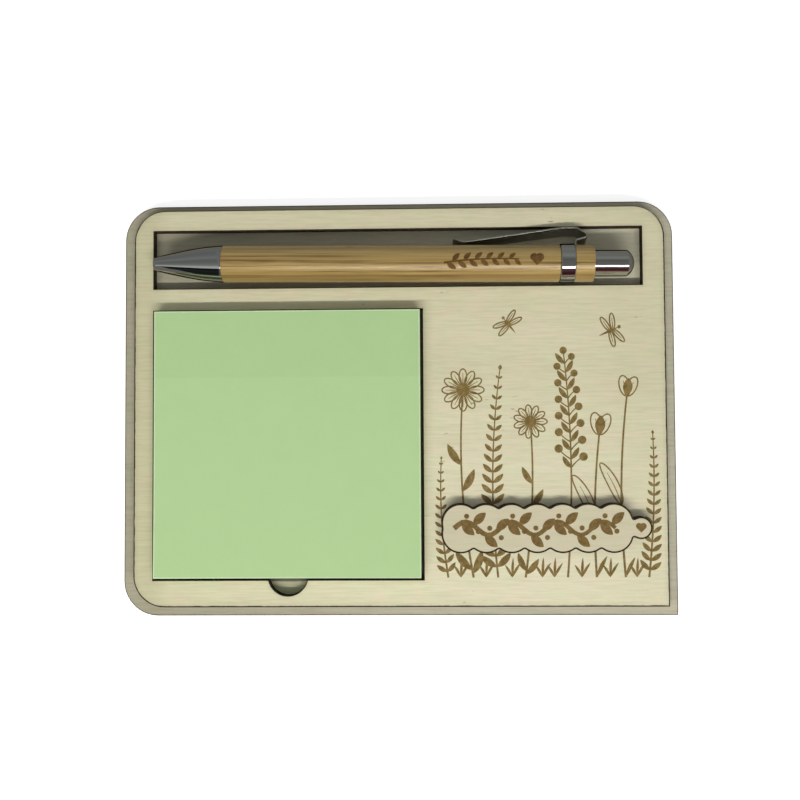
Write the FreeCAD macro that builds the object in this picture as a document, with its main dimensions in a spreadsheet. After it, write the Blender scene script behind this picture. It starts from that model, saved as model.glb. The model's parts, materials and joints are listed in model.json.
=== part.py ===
"""Desk tray for sticky notes and a pen, laser cut from plywood sheet.

A base plate carries a glued top frame with two cut-outs: a square pocket for a pad
of sticky notes, with a half-round finger notch in its front wall, and a long slot
for a push-button ballpoint pen. A scalloped plaque is glued on the frame's right side.

Frame of the part, in millimetres: the origin is at the bottom centre of the base plate,
+X runs along the pen slot, +Y from the front to the back, +Z up.
The pen's pieces share a frame of their own: X runs along the pen from the open end of
its nose to its button, and +Y points at its clip.
"""

import FreeCAD, Part
import Sketcher
import math
import os

Vector = FreeCAD.Vector

# Driving dimensions in millimetres, angles in degrees, counts as whole numbers.
SIZES = {
    # Sticky notes
    "note_size": 76.2,
    "note_gap_left": 1.05,
    "note_gap_right": 0.7,
    "note_gap_front": 0.95,
    "note_gap_back": 0.5,
    "note_block_thickness": 6.4,
    "note_thickness": 0.1,
    "backing_thickness": 0.2,
    # Base plate
    "base_thickness": 3.0,
    "base_corner_radius": 10.0,
    "lip_left": 3.5,
    "lip_right": 3.0,
    "lip_front": 2.85,
    "lip_back": 1.9,
    # Top frame
    "frame_thickness": 3.0,
    "frame_corner_radius": 9.0,
    "bar_left": 5.75,
    "bar_right": 6.55,
    "bar_front": 7.8,
    "bar_middle": 6.6,
    "bar_back": 6.1,
    "notch_radius": 5.6,
    "notch_inset": 1.1,
    "arris": 0.25,
    # Plaque
    "plaque_thickness": 3.0,
    "plaque_gap": 5.05,
    "plaque_front": 7.7,
    "plaque_lobe_radius": 5.5,
    "plaque_lobe_pitch": 7.2,
    "plaque_lobe_count": 7,
    "plaque_row_pitch": 3.1,
    "plaque_end_radius": 3.2,
    "plaque_end_reach": 2.1,
    # Place of the pen in its slot
    "pen_yaw": -0.49,
    "pen_tip_gap": 0.8,
    "pen_tail_gap": 2.8,
    "pen_front_gap": 0.15,
    "pen_floor_gap": 0.15,
    # Nose cone
    "nose_length": 20.05,
    "nose_tip_radius": 1.9,
    "nose_taper_length": 10.5,
    "nose_taper_radius": 4.0,
    "nose_rear_radius": 5.2,
    "tip_hole_gap": 0.1,
    "spring_seat": 6.5,
    "spring_chamber_gap": 0.4,
    "spigot_radius": 3.75,
    "spigot_length": 8.0,
    # Barrel, its threaded insert, the band and the tail sleeve
    "barrel_length": 96.35,
    "barrel_radius": 5.3,
    "barrel_bevel": 0.35,
    "insert_length": 9.5,
    "insert_setback": 0.4,
    "thread_gap": 0.05,
    "glue_gap": 0.05,
    "band_length": 4.2,
    "band_radius": 5.6,
    "band_bevel": 0.4,
    "tail_length": 5.4,
    # Push button and the click mechanism behind it
    "button_radius": 3.75,
    "button_gap": 0.05,
    "button_reach": 11.6,
    "button_inside": 11.5,
    "button_wall": 0.55,
    "button_dome_height": 2.1,
    "button_end_wall": 0.8,
    "button_travel": 6.0,
    "housing_wall": 0.5,
    "housing_recess": 0.3,
    "housing_skirt": 9.5,
    "guide_length": 9.5,
    "guide_rib_height": 0.55,
    "guide_rib_width": 2.4,
    "guide_count": 4,
    "stop_ring_length": 0.8,
    "stop_gap": 0.1,
    "slide_gap": 0.1,
    "lug_length": 3.2,
    "lug_width": 2.2,
    "lug_root": 0.4,
    "crown_length": 1.1,
    "crown_notch_depth": 1.0,
    "crown_notch_width": 1.2,
    "crown_tooth_height": 0.8,
    "crown_tooth_width": 0.9,
    "crown_gap": 0.2,
    "rotor_length": 6.0,
    "rotor_rib_length": 3.0,
    "rotor_rib_setback": 0.5,
    "rotor_socket_depth": 2.0,
    # Refill and its spring
    "ball_radius": 0.4,
    "ball_setback": 2.5,
    "ball_gap": 0.02,
    "ball_lip": 0.08,
    "refill_tip_radius": 1.15,
    "refill_tip_length": 11.0,
    "refill_cone_length": 2.5,
    "refill_shank_length": 4.0,
    "refill_tube_radius": 1.5,
    "refill_tube_wall": 0.35,
    "refill_fit_gap": 0.03,
    "collar_length": 1.2,
    "collar_radius": 2.15,
    "ink_length": 62.0,
    "spring_length": 21.5,
    "spring_end_gap": 0.05,
    "spring_wire_radius": 0.2,
    "spring_coil_gap": 0.15,
    "spring_turns": 8,
    # Pocket clip
    "clip_thickness": 0.5,
    "clip_width": 5.0,
    "clip_root_gap": 0.12,
    "clip_root_depth": 0.85,
    "clip_root_rise": 1.0,
    "clip_apex_reach": 4.25,
    "clip_apex_rise": 2.3,
    "clip_top_rise": 4.9,
    "clip_top_reach": 0.45,
    "clip_shoulder_length": 3.9,
    "clip_arm_length": 28.6,
    "clip_toe_gap": 0.15,
    "clip_toe_length": 2.8,
    "clip_toe_rise": 1.3,
    "clip_bend_radius": 0.7,
    "clip_sweep_radius": 3.0,
    "clip_toe_radius": 1.4,
    "clip_toe_corner": 1.2,
    "clip_floor_gap": 0.3,
    "clip_back_gap": 0.25,
}

# Sizes and places worked out from the driving dimensions, each from those above it.
FITS = {
    # Along the pen, from the open end of the nose
    "band_front": "Size.nose_length + Size.barrel_length",
    "band_rear": "Fit.band_front + Size.band_length",
    "tail_rear": "Fit.band_rear + Size.tail_length",
    "pen_length": "Fit.tail_rear + Size.button_reach",
    "button_front": "Fit.tail_rear - Size.button_inside",
    "button_shoulder": "Fit.pen_length - Size.button_dome_height",
    "button_floor": "Fit.button_shoulder - Size.button_end_wall",
    "stop_rear": "Fit.button_front - Size.button_travel - Size.housing_wall",
    "stop_front": "Fit.stop_rear - Size.stop_ring_length",
    "guide_front": "Fit.stop_front - Size.guide_length",
    "housing_front": "Fit.guide_front - Size.housing_skirt",
    "housing_rear": "Fit.tail_rear - Size.housing_recess",
    "lug_rear": "Fit.stop_front - Size.stop_gap",
    "lug_front": "Fit.lug_rear - Size.lug_length",
    "crown_front": "Fit.lug_front - Size.crown_length",
    "rotor_rear": "Fit.crown_front - Size.crown_gap",
    "rotor_front": "Fit.rotor_rear - Size.rotor_length",
    "tube_rear": "Fit.rotor_front + Size.rotor_socket_depth - Size.refill_fit_gap",
    "tube_front": "Size.ball_setback + Size.refill_tip_length",
    "shank_rear": "Fit.tube_front + Size.refill_shank_length",
    "collar_front": "Size.spring_seat + Size.spring_length",
    "clip_root": "Fit.band_rear + Size.clip_root_gap + Size.clip_thickness / 2",
    # Across the pen
    "housing_bore": "Size.button_radius + Size.button_gap",
    "housing_radius": "Fit.housing_bore + Size.housing_wall",
    "barrel_bore": "Fit.housing_radius + Size.glue_gap",
    "guide_radius": "Fit.housing_bore - Size.guide_rib_height",
    "stem_radius": "Fit.guide_radius - Size.slide_gap",
    "button_bore": "Size.button_radius - Size.button_wall",
    "post_radius": "Fit.button_bore - Size.glue_gap",
    "lug_radius": "sqrt((Fit.housing_bore - Size.slide_gap) ^ 2 - (Size.lug_width / 2) ^ 2)",
    "dome_radius": "(Size.button_radius ^ 2 + Size.button_dome_height ^ 2) / (2 * Size.button_dome_height)",
    "tip_hole_radius": "Size.refill_tip_radius + Size.tip_hole_gap",
    "tube_bore": "Size.refill_tube_radius - Size.refill_tube_wall",
    "socket_radius": "Size.refill_tube_radius + Size.refill_fit_gap",
    "coil_radius": "Size.refill_tube_radius + Size.spring_coil_gap + Size.spring_wire_radius",
    "chamber_radius": "Fit.coil_radius + Size.spring_wire_radius + Size.spring_chamber_gap",
    "ball_seat_radius": "(Size.ball_radius + Size.ball_gap) * sqrt(2)",
    "ball_lip_radius": "Fit.ball_seat_radius + Size.ball_lip",
    # Profile of the clip, as distances from the pen's axis
    "clip_start": "Size.barrel_radius - Size.clip_root_depth",
    "clip_low": "Size.barrel_radius + Size.clip_root_rise",
    "clip_apex": "Size.barrel_radius + Size.clip_apex_rise",
    "clip_top": "Size.barrel_radius + Size.clip_top_rise",
    "clip_toe": "Size.barrel_radius + Size.clip_toe_gap + Size.clip_thickness / 2",
    "clip_outside": "Fit.clip_top + Size.clip_thickness / 2",
    "clip_top_end": "Fit.clip_root + Size.clip_top_reach",
    "clip_arm_start": "Fit.clip_top_end - Size.clip_shoulder_length",
    "clip_toe_end": "Fit.clip_arm_start - Size.clip_arm_length",
    # The pen lies rolled over until the lower edge of its clip meets the slot's floor
    "clip_drop": "Size.band_radius + Size.pen_floor_gap - Size.clip_floor_gap",
    "clip_corner": "sqrt(Fit.clip_outside ^ 2 + (Size.clip_width / 2) ^ 2)",
    "pen_roll": "atan2(Size.clip_width / 2; Fit.clip_outside) - asin(Fit.clip_drop / Fit.clip_corner)",
    "clip_reach": "Fit.clip_outside * cos(Fit.pen_roll) - Size.clip_width / 2 * sin(Fit.pen_roll)",
    # Cut-outs of the frame, and the outlines round them
    "pocket_length": "Size.note_gap_left + Size.note_size + Size.note_gap_right",
    "pocket_depth": "Size.note_gap_front + Size.note_size + Size.note_gap_back",
    "slot_length": "Size.pen_tip_gap + Fit.pen_length + Size.pen_tail_gap",
    "slot_width": "Size.pen_front_gap + Size.band_radius + Fit.clip_reach + Size.clip_back_gap",
    "pocket_right": "Size.bar_left + Fit.pocket_length",
    "pocket_back": "Size.bar_front + Fit.pocket_depth",
    "slot_front": "Fit.pocket_back + Size.bar_middle",
    "slot_back": "Fit.slot_front + Fit.slot_width",
    "slot_right": "Size.bar_left + Fit.slot_length",
    "frame_length": "Fit.slot_right + Size.bar_right",
    "frame_depth": "Fit.slot_back + Size.bar_back",
    "base_length": "Size.lip_left + Fit.frame_length + Size.lip_right",
    "base_depth": "Size.lip_front + Fit.frame_depth + Size.lip_back",
    # Places in the part's own frame
    "frame_left": "Size.lip_left - Fit.base_length / 2",
    "frame_front": "Size.lip_front - Fit.base_depth / 2",
    "frame_top": "Size.base_thickness + Size.frame_thickness",
    "note_left": "Fit.frame_left + Size.bar_left + Size.note_gap_left",
    "note_front": "Fit.frame_front + Size.bar_front + Size.note_gap_front",
    "block_floor": "Size.base_thickness + Size.backing_thickness",
    "block_top": "Fit.block_floor + Size.note_block_thickness",
    "plaque_left": "Fit.frame_left + Fit.pocket_right + Size.plaque_gap",
    "plaque_low": "Fit.frame_front + Size.bar_front + Size.plaque_front",
    "pen_x": "Fit.frame_left + Size.bar_left + Size.pen_tip_gap",
    "band_y": "Fit.frame_front + Fit.slot_front + Size.pen_front_gap + Size.band_radius",
    "pen_y": "Fit.band_y - (Fit.band_front + Size.band_length / 2) * sin(Size.pen_yaw)",
    "pen_z": "Size.base_thickness + Size.pen_floor_gap + Size.band_radius",
}

PEN_PLACE = "placement(vector(Fit.pen_x; Fit.pen_y; Fit.pen_z); rotation(Size.pen_yaw; 0; Fit.pen_roll))"
FULL_TURN = 360
CLOSE = 1e-4

doc = FreeCAD.newDocument("note_tray")


def fill_sheet(name, entries):
    """Write a named value on each row of a new sheet, the name in column A and the value in column B."""
    sheet = doc.addObject("Spreadsheet::Sheet", name)
    for row, (alias, entry) in enumerate(entries.items(), start=1):
        formula = isinstance(entry, str)
        sheet.set(f"A{row}", alias)
        sheet.set(f"B{row}", f"={entry}".replace("Fit.", "") if formula else str(entry))
        sheet.setAlias(f"B{row}", alias)
    doc.recompute()
    return sheet


size_sheet = fill_sheet("Size", SIZES)
fit_sheet = fill_sheet("Fit", FITS)


def number(expression):
    """Give the value of an expression over the two sheets as a plain number."""
    return float(size_sheet.evalExpression(expression))


def spot(point):
    """Turn a pair of expressions into a point of a sketch."""
    return Vector(number(point[0]), number(point[1]), 0)


def new_body(label, place):
    """Start a body whose placement follows the given expression."""
    body = doc.addObject("PartDesign::Body", label)
    body.Label = label
    body.setExpression("Placement", place)
    return body


def resting(x, y, z):
    """Give the placement expression of a piece that is moved but not turned."""
    return f"placement(vector({x}; {y}; {z}); rotation(0; 0; 0))"


def origin_feature(body, role):
    """Find one of a body's own origin planes or axes."""
    return next(item for item in body.Origin.OriginFeatures if item.Role == role)


def new_sketch(body, name, plane, lift="0", turn=0):
    """Add a sketch on one of the body's origin planes, lifted along its normal and turned on it."""
    sketch = body.newObject("Sketcher::SketchObject", f"{body.Name}_{name}")
    sketch.AttachmentSupport = [(origin_feature(body, plane), "")]
    sketch.MapMode = "FlatFace"
    sketch.AttachmentOffset = FreeCAD.Placement(Vector(), FreeCAD.Rotation(Vector(0, 0, 1), turn))
    sketch.setExpression("AttachmentOffset.Base.z", lift)
    return sketch


def hold(sketch, kind, expression, *references):
    """Add a dimension to a sketch and bind it to an expression."""
    index = sketch.addConstraint(Sketcher.Constraint(kind, *references, number(expression)))
    sketch.setExpression(f"Constraints[{index}]", expression)


def hold_point(sketch, point, geometry, position):
    """Dimension a point of a sketch from the origin, in both directions."""
    hold(sketch, "DistanceX", point[0], -1, 1, geometry, position)
    hold(sketch, "DistanceY", point[1], -1, 1, geometry, position)


def draw_outline(sketch, corners, arcs=None):
    """Close a chain of edges through the corners.

    An edge is straight, or an arc of the given radius that bulges to the left of the way the chain runs.
    """
    arcs = arcs or {}
    spots = [spot(corner) for corner in corners]
    chain = []
    for i, start in enumerate(spots):
        end = spots[(i + 1) % len(spots)]
        if i in arcs:
            radius = number(arcs[i])
            chord = end - start
            sagitta = radius - math.sqrt(max(radius**2 - chord.Length**2 / 4, 0))
            left = Vector(-chord.y, chord.x, 0).normalize()
            crest = (start + end) / 2 + left * sagitta
            index = sketch.addGeometry(Part.Arc(end, crest, start), False)
            chain.append((index, 2, 1))
            hold(sketch, "Radius", arcs[i], index)
        else:
            index = sketch.addGeometry(Part.LineSegment(start, end), False)
            chain.append((index, 1, 2))
    for i, (index, first, _) in enumerate(chain):
        before, _, last = chain[i - 1]
        sketch.addConstraint(Sketcher.Constraint("Coincident", before, last, index, first))
        hold_point(sketch, corners[i], index, first)


def draw_circle(sketch, centre, radius):
    """Draw a dimensioned circle."""
    index = sketch.addGeometry(Part.Circle(spot(centre), Vector(0, 0, 1), number(radius)), False)
    hold_point(sketch, centre, index, 3)
    hold(sketch, "Radius", radius, index)


def draw_bent_path(sketch, points, radii):
    """Draw straight runs through the points, with a tangent arc of the given radius at each inner point."""
    spots = [spot(point) for point in points]
    bends = []
    starts = [spots[0]]
    ends = []
    for before, here, after, radius in zip(spots, spots[1:], spots[2:], radii):
        back = (before - here).normalize()
        ahead = (after - here).normalize()
        half = back.getAngle(ahead) / 2
        cut = number(radius) / math.tan(half)
        centre = here + (back + ahead).normalize() * (number(radius) / math.sin(half))
        crest = centre + (here - centre).normalize() * number(radius)
        ends.append(here + back * cut)
        starts.append(here + ahead * cut)
        bends.append((crest, back.cross(ahead).z < 0))
    ends.append(spots[-1])
    runs = [sketch.addGeometry(Part.LineSegment(a, b), False) for a, b in zip(starts, ends)]
    hold_point(sketch, points[0], runs[0], 1)
    hold_point(sketch, points[-1], runs[-1], 2)
    for i, ((crest, turns_left), radius) in enumerate(zip(bends, radii)):
        a, b = (ends[i], starts[i + 1]) if turns_left else (starts[i + 1], ends[i])
        first, last = (1, 2) if turns_left else (2, 1)
        arc = sketch.addGeometry(Part.Arc(a, crest, b), False)
        corner = sketch.addGeometry(Part.Point(spots[i + 1]), True)
        sketch.addConstraint(Sketcher.Constraint("Tangent", runs[i], 2, arc, first))
        sketch.addConstraint(Sketcher.Constraint("Tangent", arc, last, runs[i + 1], 1))
        sketch.addConstraint(Sketcher.Constraint("PointOnObject", corner, 1, runs[i]))
        sketch.addConstraint(Sketcher.Constraint("PointOnObject", corner, 1, runs[i + 1]))
        hold_point(sketch, points[i + 1], corner, 1)
        hold(sketch, "Radius", radius, arc)


def rectangle(low_x, low_y, high_x, high_y):
    """Give the corners of an upright rectangle as expressions."""
    return [(low_x, low_y), (high_x, low_y), (high_x, high_y), (low_x, high_y)]


def padded(body, sketch, length, both_ways=False):
    """Extrude a sketch along its normal, or to both sides of its plane."""
    feature = body.newObject("PartDesign::Pad", f"{sketch.Name}_pad")
    feature.Profile = sketch
    feature.SideType = "Symmetric" if both_ways else "One side"
    feature.setExpression("Length", length)
    doc.recompute()
    return feature


def pocketed(body, sketch, length, both_ways=False):
    """Cut a sketch's extrusion out of the body, along its normal or to both sides of its plane."""
    before = body.Shape.Volume
    feature = body.newObject("PartDesign::Pocket", f"{sketch.Name}_cut")
    feature.Profile = sketch
    feature.SideType = "Symmetric" if both_ways else "One side"
    feature.Reversed = True
    feature.setExpression("Length", length)
    doc.recompute()
    if body.Shape.Volume >= before:
        raise RuntimeError(f"{feature.Name} cuts nothing")
    return feature


def revolved(body, name, corners, arcs=None):
    """Turn a profile, drawn as distances along and from the X axis, round that axis."""
    sketch = new_sketch(body, name, "XY_Plane")
    draw_outline(sketch, corners, arcs)
    feature = body.newObject("PartDesign::Revolution", f"{sketch.Name}_turn")
    feature.Profile = sketch
    feature.ReferenceAxis = (sketch, ["H_Axis"])
    feature.Angle = FULL_TURN
    doc.recompute()
    return feature


def ringed(body, feature, count, sweep=FULL_TURN):
    """Repeat a feature round the X axis."""
    pattern = body.newObject("PartDesign::PolarPattern", f"{feature.Name}_ring")
    pattern.Originals = [feature]
    pattern.Axis = (origin_feature(body, "X_Axis"), [""])
    pattern.Angle = sweep
    pattern.setExpression("Occurrences", count)
    body.Tip = pattern
    doc.recompute()
    return pattern


def dressed(body, kind, feature, test, size_name, expression):
    """Put a chamfer or fillet on the edges of a feature that pass a test."""
    names = [f"Edge{i}" for i, edge in enumerate(feature.Shape.Edges, start=1) if test(edge)]
    dress = body.newObject(f"PartDesign::{kind}", f"{feature.Name}_{kind.lower()}")
    dress.Base = (feature, names)
    dress.setExpression(size_name, expression)
    doc.recompute()
    return dress


def is_upright(edge):
    """Tell whether an edge is a vertical line."""
    box = edge.BoundBox
    return max(box.XLength, box.YLength) < CLOSE


def lies_at(height):
    """Make a test for edges that lie flat at a height."""
    return lambda edge: edge.BoundBox.ZMin > height - CLOSE


def round_three_corners(body, feature, length, radius):
    """Round every upright corner of a plate but the front right one, which stays square."""
    right = number(length)

    def is_round(edge):
        """Tell whether an edge is one of the three rounded corners."""
        box = edge.BoundBox
        return is_upright(edge) and not (box.XMin > right - CLOSE and box.YMin < CLOSE)

    return dressed(body, "Fillet", feature, is_round, "Radius", radius)


def make_base_plate():
    """Cut the base plate, the burnt edge of its top face broken all round."""
    place = resting("-Fit.base_length / 2", "-Fit.base_depth / 2", "0")
    body = new_body("base_plate", place)
    sketch = new_sketch(body, "outline", "XY_Plane")
    draw_outline(sketch, rectangle("0", "0", "Fit.base_length", "Fit.base_depth"))
    plate = padded(body, sketch, "Size.base_thickness")
    rounded = round_three_corners(body, plate, "Fit.base_length", "Size.base_corner_radius")
    dressed(body, "Chamfer", rounded, lies_at(number("Size.base_thickness")), "Size", "Size.arris")
    return body


def make_top_frame():
    """Cut the top frame with its note pocket, finger notch and pen slot."""
    place = resting("Fit.frame_left", "Fit.frame_front", "Size.base_thickness")
    body = new_body("top_frame", place)
    outline = new_sketch(body, "outline", "XY_Plane")
    draw_outline(outline, rectangle("0", "0", "Fit.frame_length", "Fit.frame_depth"))
    plate = padded(body, outline, "Size.frame_thickness")
    round_three_corners(body, plate, "Fit.frame_length", "Size.frame_corner_radius")
    pocket = new_sketch(body, "pocket", "XY_Plane")
    corners = rectangle("Size.bar_left", "Size.bar_front", "Fit.pocket_right", "Fit.pocket_back")
    draw_outline(pocket, corners)
    pocketed(body, pocket, "Size.frame_thickness")
    notch = new_sketch(body, "notch", "XY_Plane")
    notch_centre = ("Size.bar_left + Fit.pocket_length / 2", "Size.bar_front + Size.notch_inset")
    draw_circle(notch, notch_centre, "Size.notch_radius")
    pocketed(body, notch, "Size.frame_thickness")
    slot = new_sketch(body, "slot", "XY_Plane")
    draw_outline(slot, rectangle("Size.bar_left", "Fit.slot_front", "Fit.slot_right", "Fit.slot_back"))
    opened = pocketed(body, slot, "Size.frame_thickness")
    dressed(body, "Chamfer", opened, lies_at(number("Size.frame_thickness")), "Size", "Size.arris")
    return body


def make_plaque():
    """Cut the plaque: two rows of round lobes, and a small lobe at its right end."""
    body = new_body("plaque", resting("Fit.plaque_left", "Fit.plaque_low", "Fit.frame_top"))
    sketch = new_sketch(body, "lobe", "XY_Plane")
    draw_circle(sketch, ("Size.plaque_lobe_radius", "Size.plaque_lobe_radius"), "Size.plaque_lobe_radius")
    lobe = padded(body, sketch, "Size.plaque_thickness")
    rows = body.newObject("PartDesign::LinearPattern", "plaque_rows")
    rows.Originals = [lobe]
    rows.Direction = (origin_feature(body, "X_Axis"), [""])
    rows.setExpression("Length", "Size.plaque_lobe_pitch * (Size.plaque_lobe_count - 1)")
    rows.setExpression("Occurrences", "Size.plaque_lobe_count")
    rows.Direction2 = (origin_feature(body, "Y_Axis"), [""])
    rows.setExpression("Length2", "Size.plaque_row_pitch")
    rows.Occurrences2 = 2
    body.Tip = rows
    doc.recompute()
    end = new_sketch(body, "end", "XY_Plane")
    lobes_end = "2 * Size.plaque_lobe_radius + Size.plaque_lobe_pitch * (Size.plaque_lobe_count - 1)"
    middle = "Size.plaque_lobe_radius + Size.plaque_row_pitch / 2"
    draw_circle(end, (f"{lobes_end} + Size.plaque_end_reach", middle), "Size.plaque_end_radius")
    padded(body, end, "Size.plaque_thickness")
    return body


def make_sheet_stack(label, floor, thickness):
    """Make a square slab of paper in the note pocket."""
    body = new_body(label, resting("Fit.note_left", "Fit.note_front", floor))
    sketch = new_sketch(body, "outline", "XY_Plane")
    draw_outline(sketch, rectangle("0", "0", "Size.note_size", "Size.note_size"))
    padded(body, sketch, thickness)
    return body


def make_nose_cone():
    """Turn the nose cone, with the spring's chamber and the spigot that screws into the barrel."""
    body = new_body("nose_cone", PEN_PLACE)
    spigot_end = "Size.nose_length + Size.spigot_length"
    corners = [
        ("0", "Fit.tip_hole_radius"),
        ("0", "Size.nose_tip_radius"),
        ("Size.nose_taper_length", "Size.nose_taper_radius"),
        ("Size.nose_length", "Size.nose_rear_radius"),
        ("Size.nose_length", "Size.spigot_radius"),
        (spigot_end, "Size.spigot_radius"),
        (spigot_end, "Fit.chamber_radius"),
        ("Size.spring_seat", "Fit.chamber_radius"),
        ("Size.spring_seat", "Fit.tip_hole_radius"),
    ]
    revolved(body, "profile", corners)
    return body


def make_barrel():
    """Turn the wooden barrel, its two rims bevelled."""
    body = new_body("barrel", PEN_PLACE)
    corners = [
        ("Size.nose_length", "Fit.barrel_bore"),
        ("Size.nose_length", "Size.barrel_radius - Size.barrel_bevel"),
        ("Size.nose_length + Size.barrel_bevel", "Size.barrel_radius"),
        ("Fit.band_front - Size.barrel_bevel", "Size.barrel_radius"),
        ("Fit.band_front", "Size.barrel_radius - Size.barrel_bevel"),
        ("Fit.band_front", "Fit.barrel_bore"),
    ]
    revolved(body, "profile", corners)
    return body


def make_barrel_insert():
    """Turn the bush in the barrel that the nose cone screws into."""
    body = new_body("barrel_insert", PEN_PLACE)
    front = "Size.nose_length + Size.insert_setback"
    inside = "Size.spigot_radius + Size.thread_gap"
    outside = "Fit.barrel_bore - Size.glue_gap"
    revolved(body, "profile", rectangle(front, inside, f"{front} + Size.insert_length", outside))
    return body


def make_centre_band():
    """Turn the plated band, its two rims bevelled."""
    body = new_body("centre_band", PEN_PLACE)
    corners = [
        ("Fit.band_front", "Fit.barrel_bore"),
        ("Fit.band_front", "Size.band_radius - Size.band_bevel"),
        ("Fit.band_front + Size.band_bevel", "Size.band_radius"),
        ("Fit.band_rear - Size.band_bevel", "Size.band_radius"),
        ("Fit.band_rear", "Size.band_radius - Size.band_bevel"),
        ("Fit.band_rear", "Fit.barrel_bore"),
    ]
    revolved(body, "profile", corners)
    return body


def make_tail_sleeve():
    """Turn the wooden tail sleeve and cut the notch that holds the clip's root."""
    body = new_body("tail_sleeve", PEN_PLACE)
    corners = [
        ("Fit.band_rear", "Fit.barrel_bore"),
        ("Fit.band_rear", "Size.barrel_radius"),
        ("Fit.tail_rear - Size.barrel_bevel", "Size.barrel_radius"),
        ("Fit.tail_rear", "Size.barrel_radius - Size.barrel_bevel"),
        ("Fit.tail_rear", "Fit.barrel_bore"),
    ]
    revolved(body, "profile", corners)
    sketch = new_sketch(body, "notch", "YZ_Plane", "Fit.band_rear")
    side = "Size.clip_width / 2 + Size.clip_root_gap"
    draw_outline(sketch, rectangle("0", f"-({side})", "Size.band_radius", side))
    pocketed(body, sketch, "Size.clip_thickness + 2 * Size.clip_root_gap")
    return body


def make_mechanism_housing():
    """Turn the tube behind the button, with a stop ring and guide ribs inside it."""
    body = new_body("mechanism_housing", PEN_PLACE)
    corners = [
        ("Fit.housing_front", "Fit.housing_bore"),
        ("Fit.housing_front", "Fit.housing_radius"),
        ("Fit.housing_rear", "Fit.housing_radius"),
        ("Fit.housing_rear", "Fit.housing_bore"),
        ("Fit.stop_rear", "Fit.housing_bore"),
        ("Fit.stop_rear", "Fit.guide_radius"),
        ("Fit.stop_front", "Fit.guide_radius"),
        ("Fit.stop_front", "Fit.housing_bore"),
    ]
    revolved(body, "profile", corners)
    half_pitch = FULL_TURN / number("Size.guide_count") / 2
    sketch = new_sketch(body, "rib", "YZ_Plane", "Fit.guide_front", half_pitch)
    side = "Size.guide_rib_width / 2"
    middle_of_wall = "Fit.housing_bore + Size.housing_wall / 2"
    draw_outline(sketch, rectangle("Fit.guide_radius", f"-{side}", middle_of_wall, side))
    rib = padded(body, sketch, "Size.guide_length")
    ringed(body, rib, "Size.guide_count")
    return body


def add_lugs(body, front, length):
    """Add the lugs that run in the grooves between the housing's guide ribs."""
    sketch = new_sketch(body, "lug", "YZ_Plane", front)
    side = "Size.lug_width / 2"
    root = "Fit.stem_radius - Size.lug_root"
    draw_outline(sketch, rectangle(root, f"-{side}", "Fit.lug_radius", side))
    lug = padded(body, sketch, length)
    ringed(body, lug, "Size.guide_count")


def crown_triangle(body, name, face, rise, width):
    """Draw the triangle of a crown's notch or tooth, its base on the face."""
    sketch = new_sketch(body, name, "XY_Plane")
    draw_outline(sketch, [(face, f"-{width} / 2"), (face, f"{width} / 2"), (f"{face} + {rise}", "0")])
    return sketch


def ring_crown(body, feature):
    """Repeat a crown's notch or tooth, which crosses the axis, so that it points between the lugs too."""
    count = number("Size.guide_count")
    sweep = FULL_TURN / 2 * (count - 1) / count
    ringed(body, feature, "Size.guide_count", sweep)


def make_push_button():
    """Turn the hollow push button with its domed end."""
    body = new_body("push_button", PEN_PLACE)
    corners = [
        ("Fit.button_front", "Fit.button_bore"),
        ("Fit.button_front", "Size.button_radius"),
        ("Fit.button_shoulder", "Size.button_radius"),
        ("Fit.pen_length", "0"),
        ("Fit.button_floor", "0"),
        ("Fit.button_floor", "Fit.button_bore"),
    ]
    revolved(body, "profile", corners, {2: "Fit.dome_radius"})
    return body


def make_plunger():
    """Turn the plunger that the button sits on, with its lugs and its notched crown."""
    body = new_body("plunger", PEN_PLACE)
    top = "Fit.button_floor - Size.glue_gap"
    corners = [
        ("Fit.crown_front", "0"),
        ("Fit.crown_front", "Fit.stem_radius"),
        ("Fit.button_front", "Fit.stem_radius"),
        ("Fit.button_front", "Fit.post_radius"),
        (top, "Fit.post_radius"),
        (top, "0"),
    ]
    revolved(body, "profile", corners)
    add_lugs(body, "Fit.lug_front", "Size.lug_length")
    sketch = crown_triangle(
        body, "crown", "Fit.crown_front", "Size.crown_notch_depth", "Size.crown_notch_width"
    )
    cut = pocketed(body, sketch, "2 * Fit.housing_bore", both_ways=True)
    ring_crown(body, cut)
    return body


def make_cam_rotor():
    """Turn the rotor that the plunger pushes, with its ribs, its toothed crown and the refill's socket."""
    body = new_body("cam_rotor", PEN_PLACE)
    socket_floor = "Fit.rotor_front + Size.rotor_socket_depth"
    corners = [
        ("Fit.rotor_front", "Fit.socket_radius"),
        ("Fit.rotor_front", "Fit.stem_radius"),
        ("Fit.rotor_rear", "Fit.stem_radius"),
        ("Fit.rotor_rear", "0"),
        (socket_floor, "0"),
        (socket_floor, "Fit.socket_radius"),
    ]
    revolved(body, "profile", corners)
    rib_front = "Fit.rotor_rear - Size.rotor_rib_setback - Size.rotor_rib_length"
    add_lugs(body, rib_front, "Size.rotor_rib_length")
    sketch = crown_triangle(
        body, "crown", "Fit.rotor_rear", "Size.crown_tooth_height", "Size.crown_tooth_width"
    )
    tooth = padded(body, sketch, "2 * (Fit.stem_radius - Size.slide_gap)", both_ways=True)
    ring_crown(body, tooth)
    return body


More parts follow.
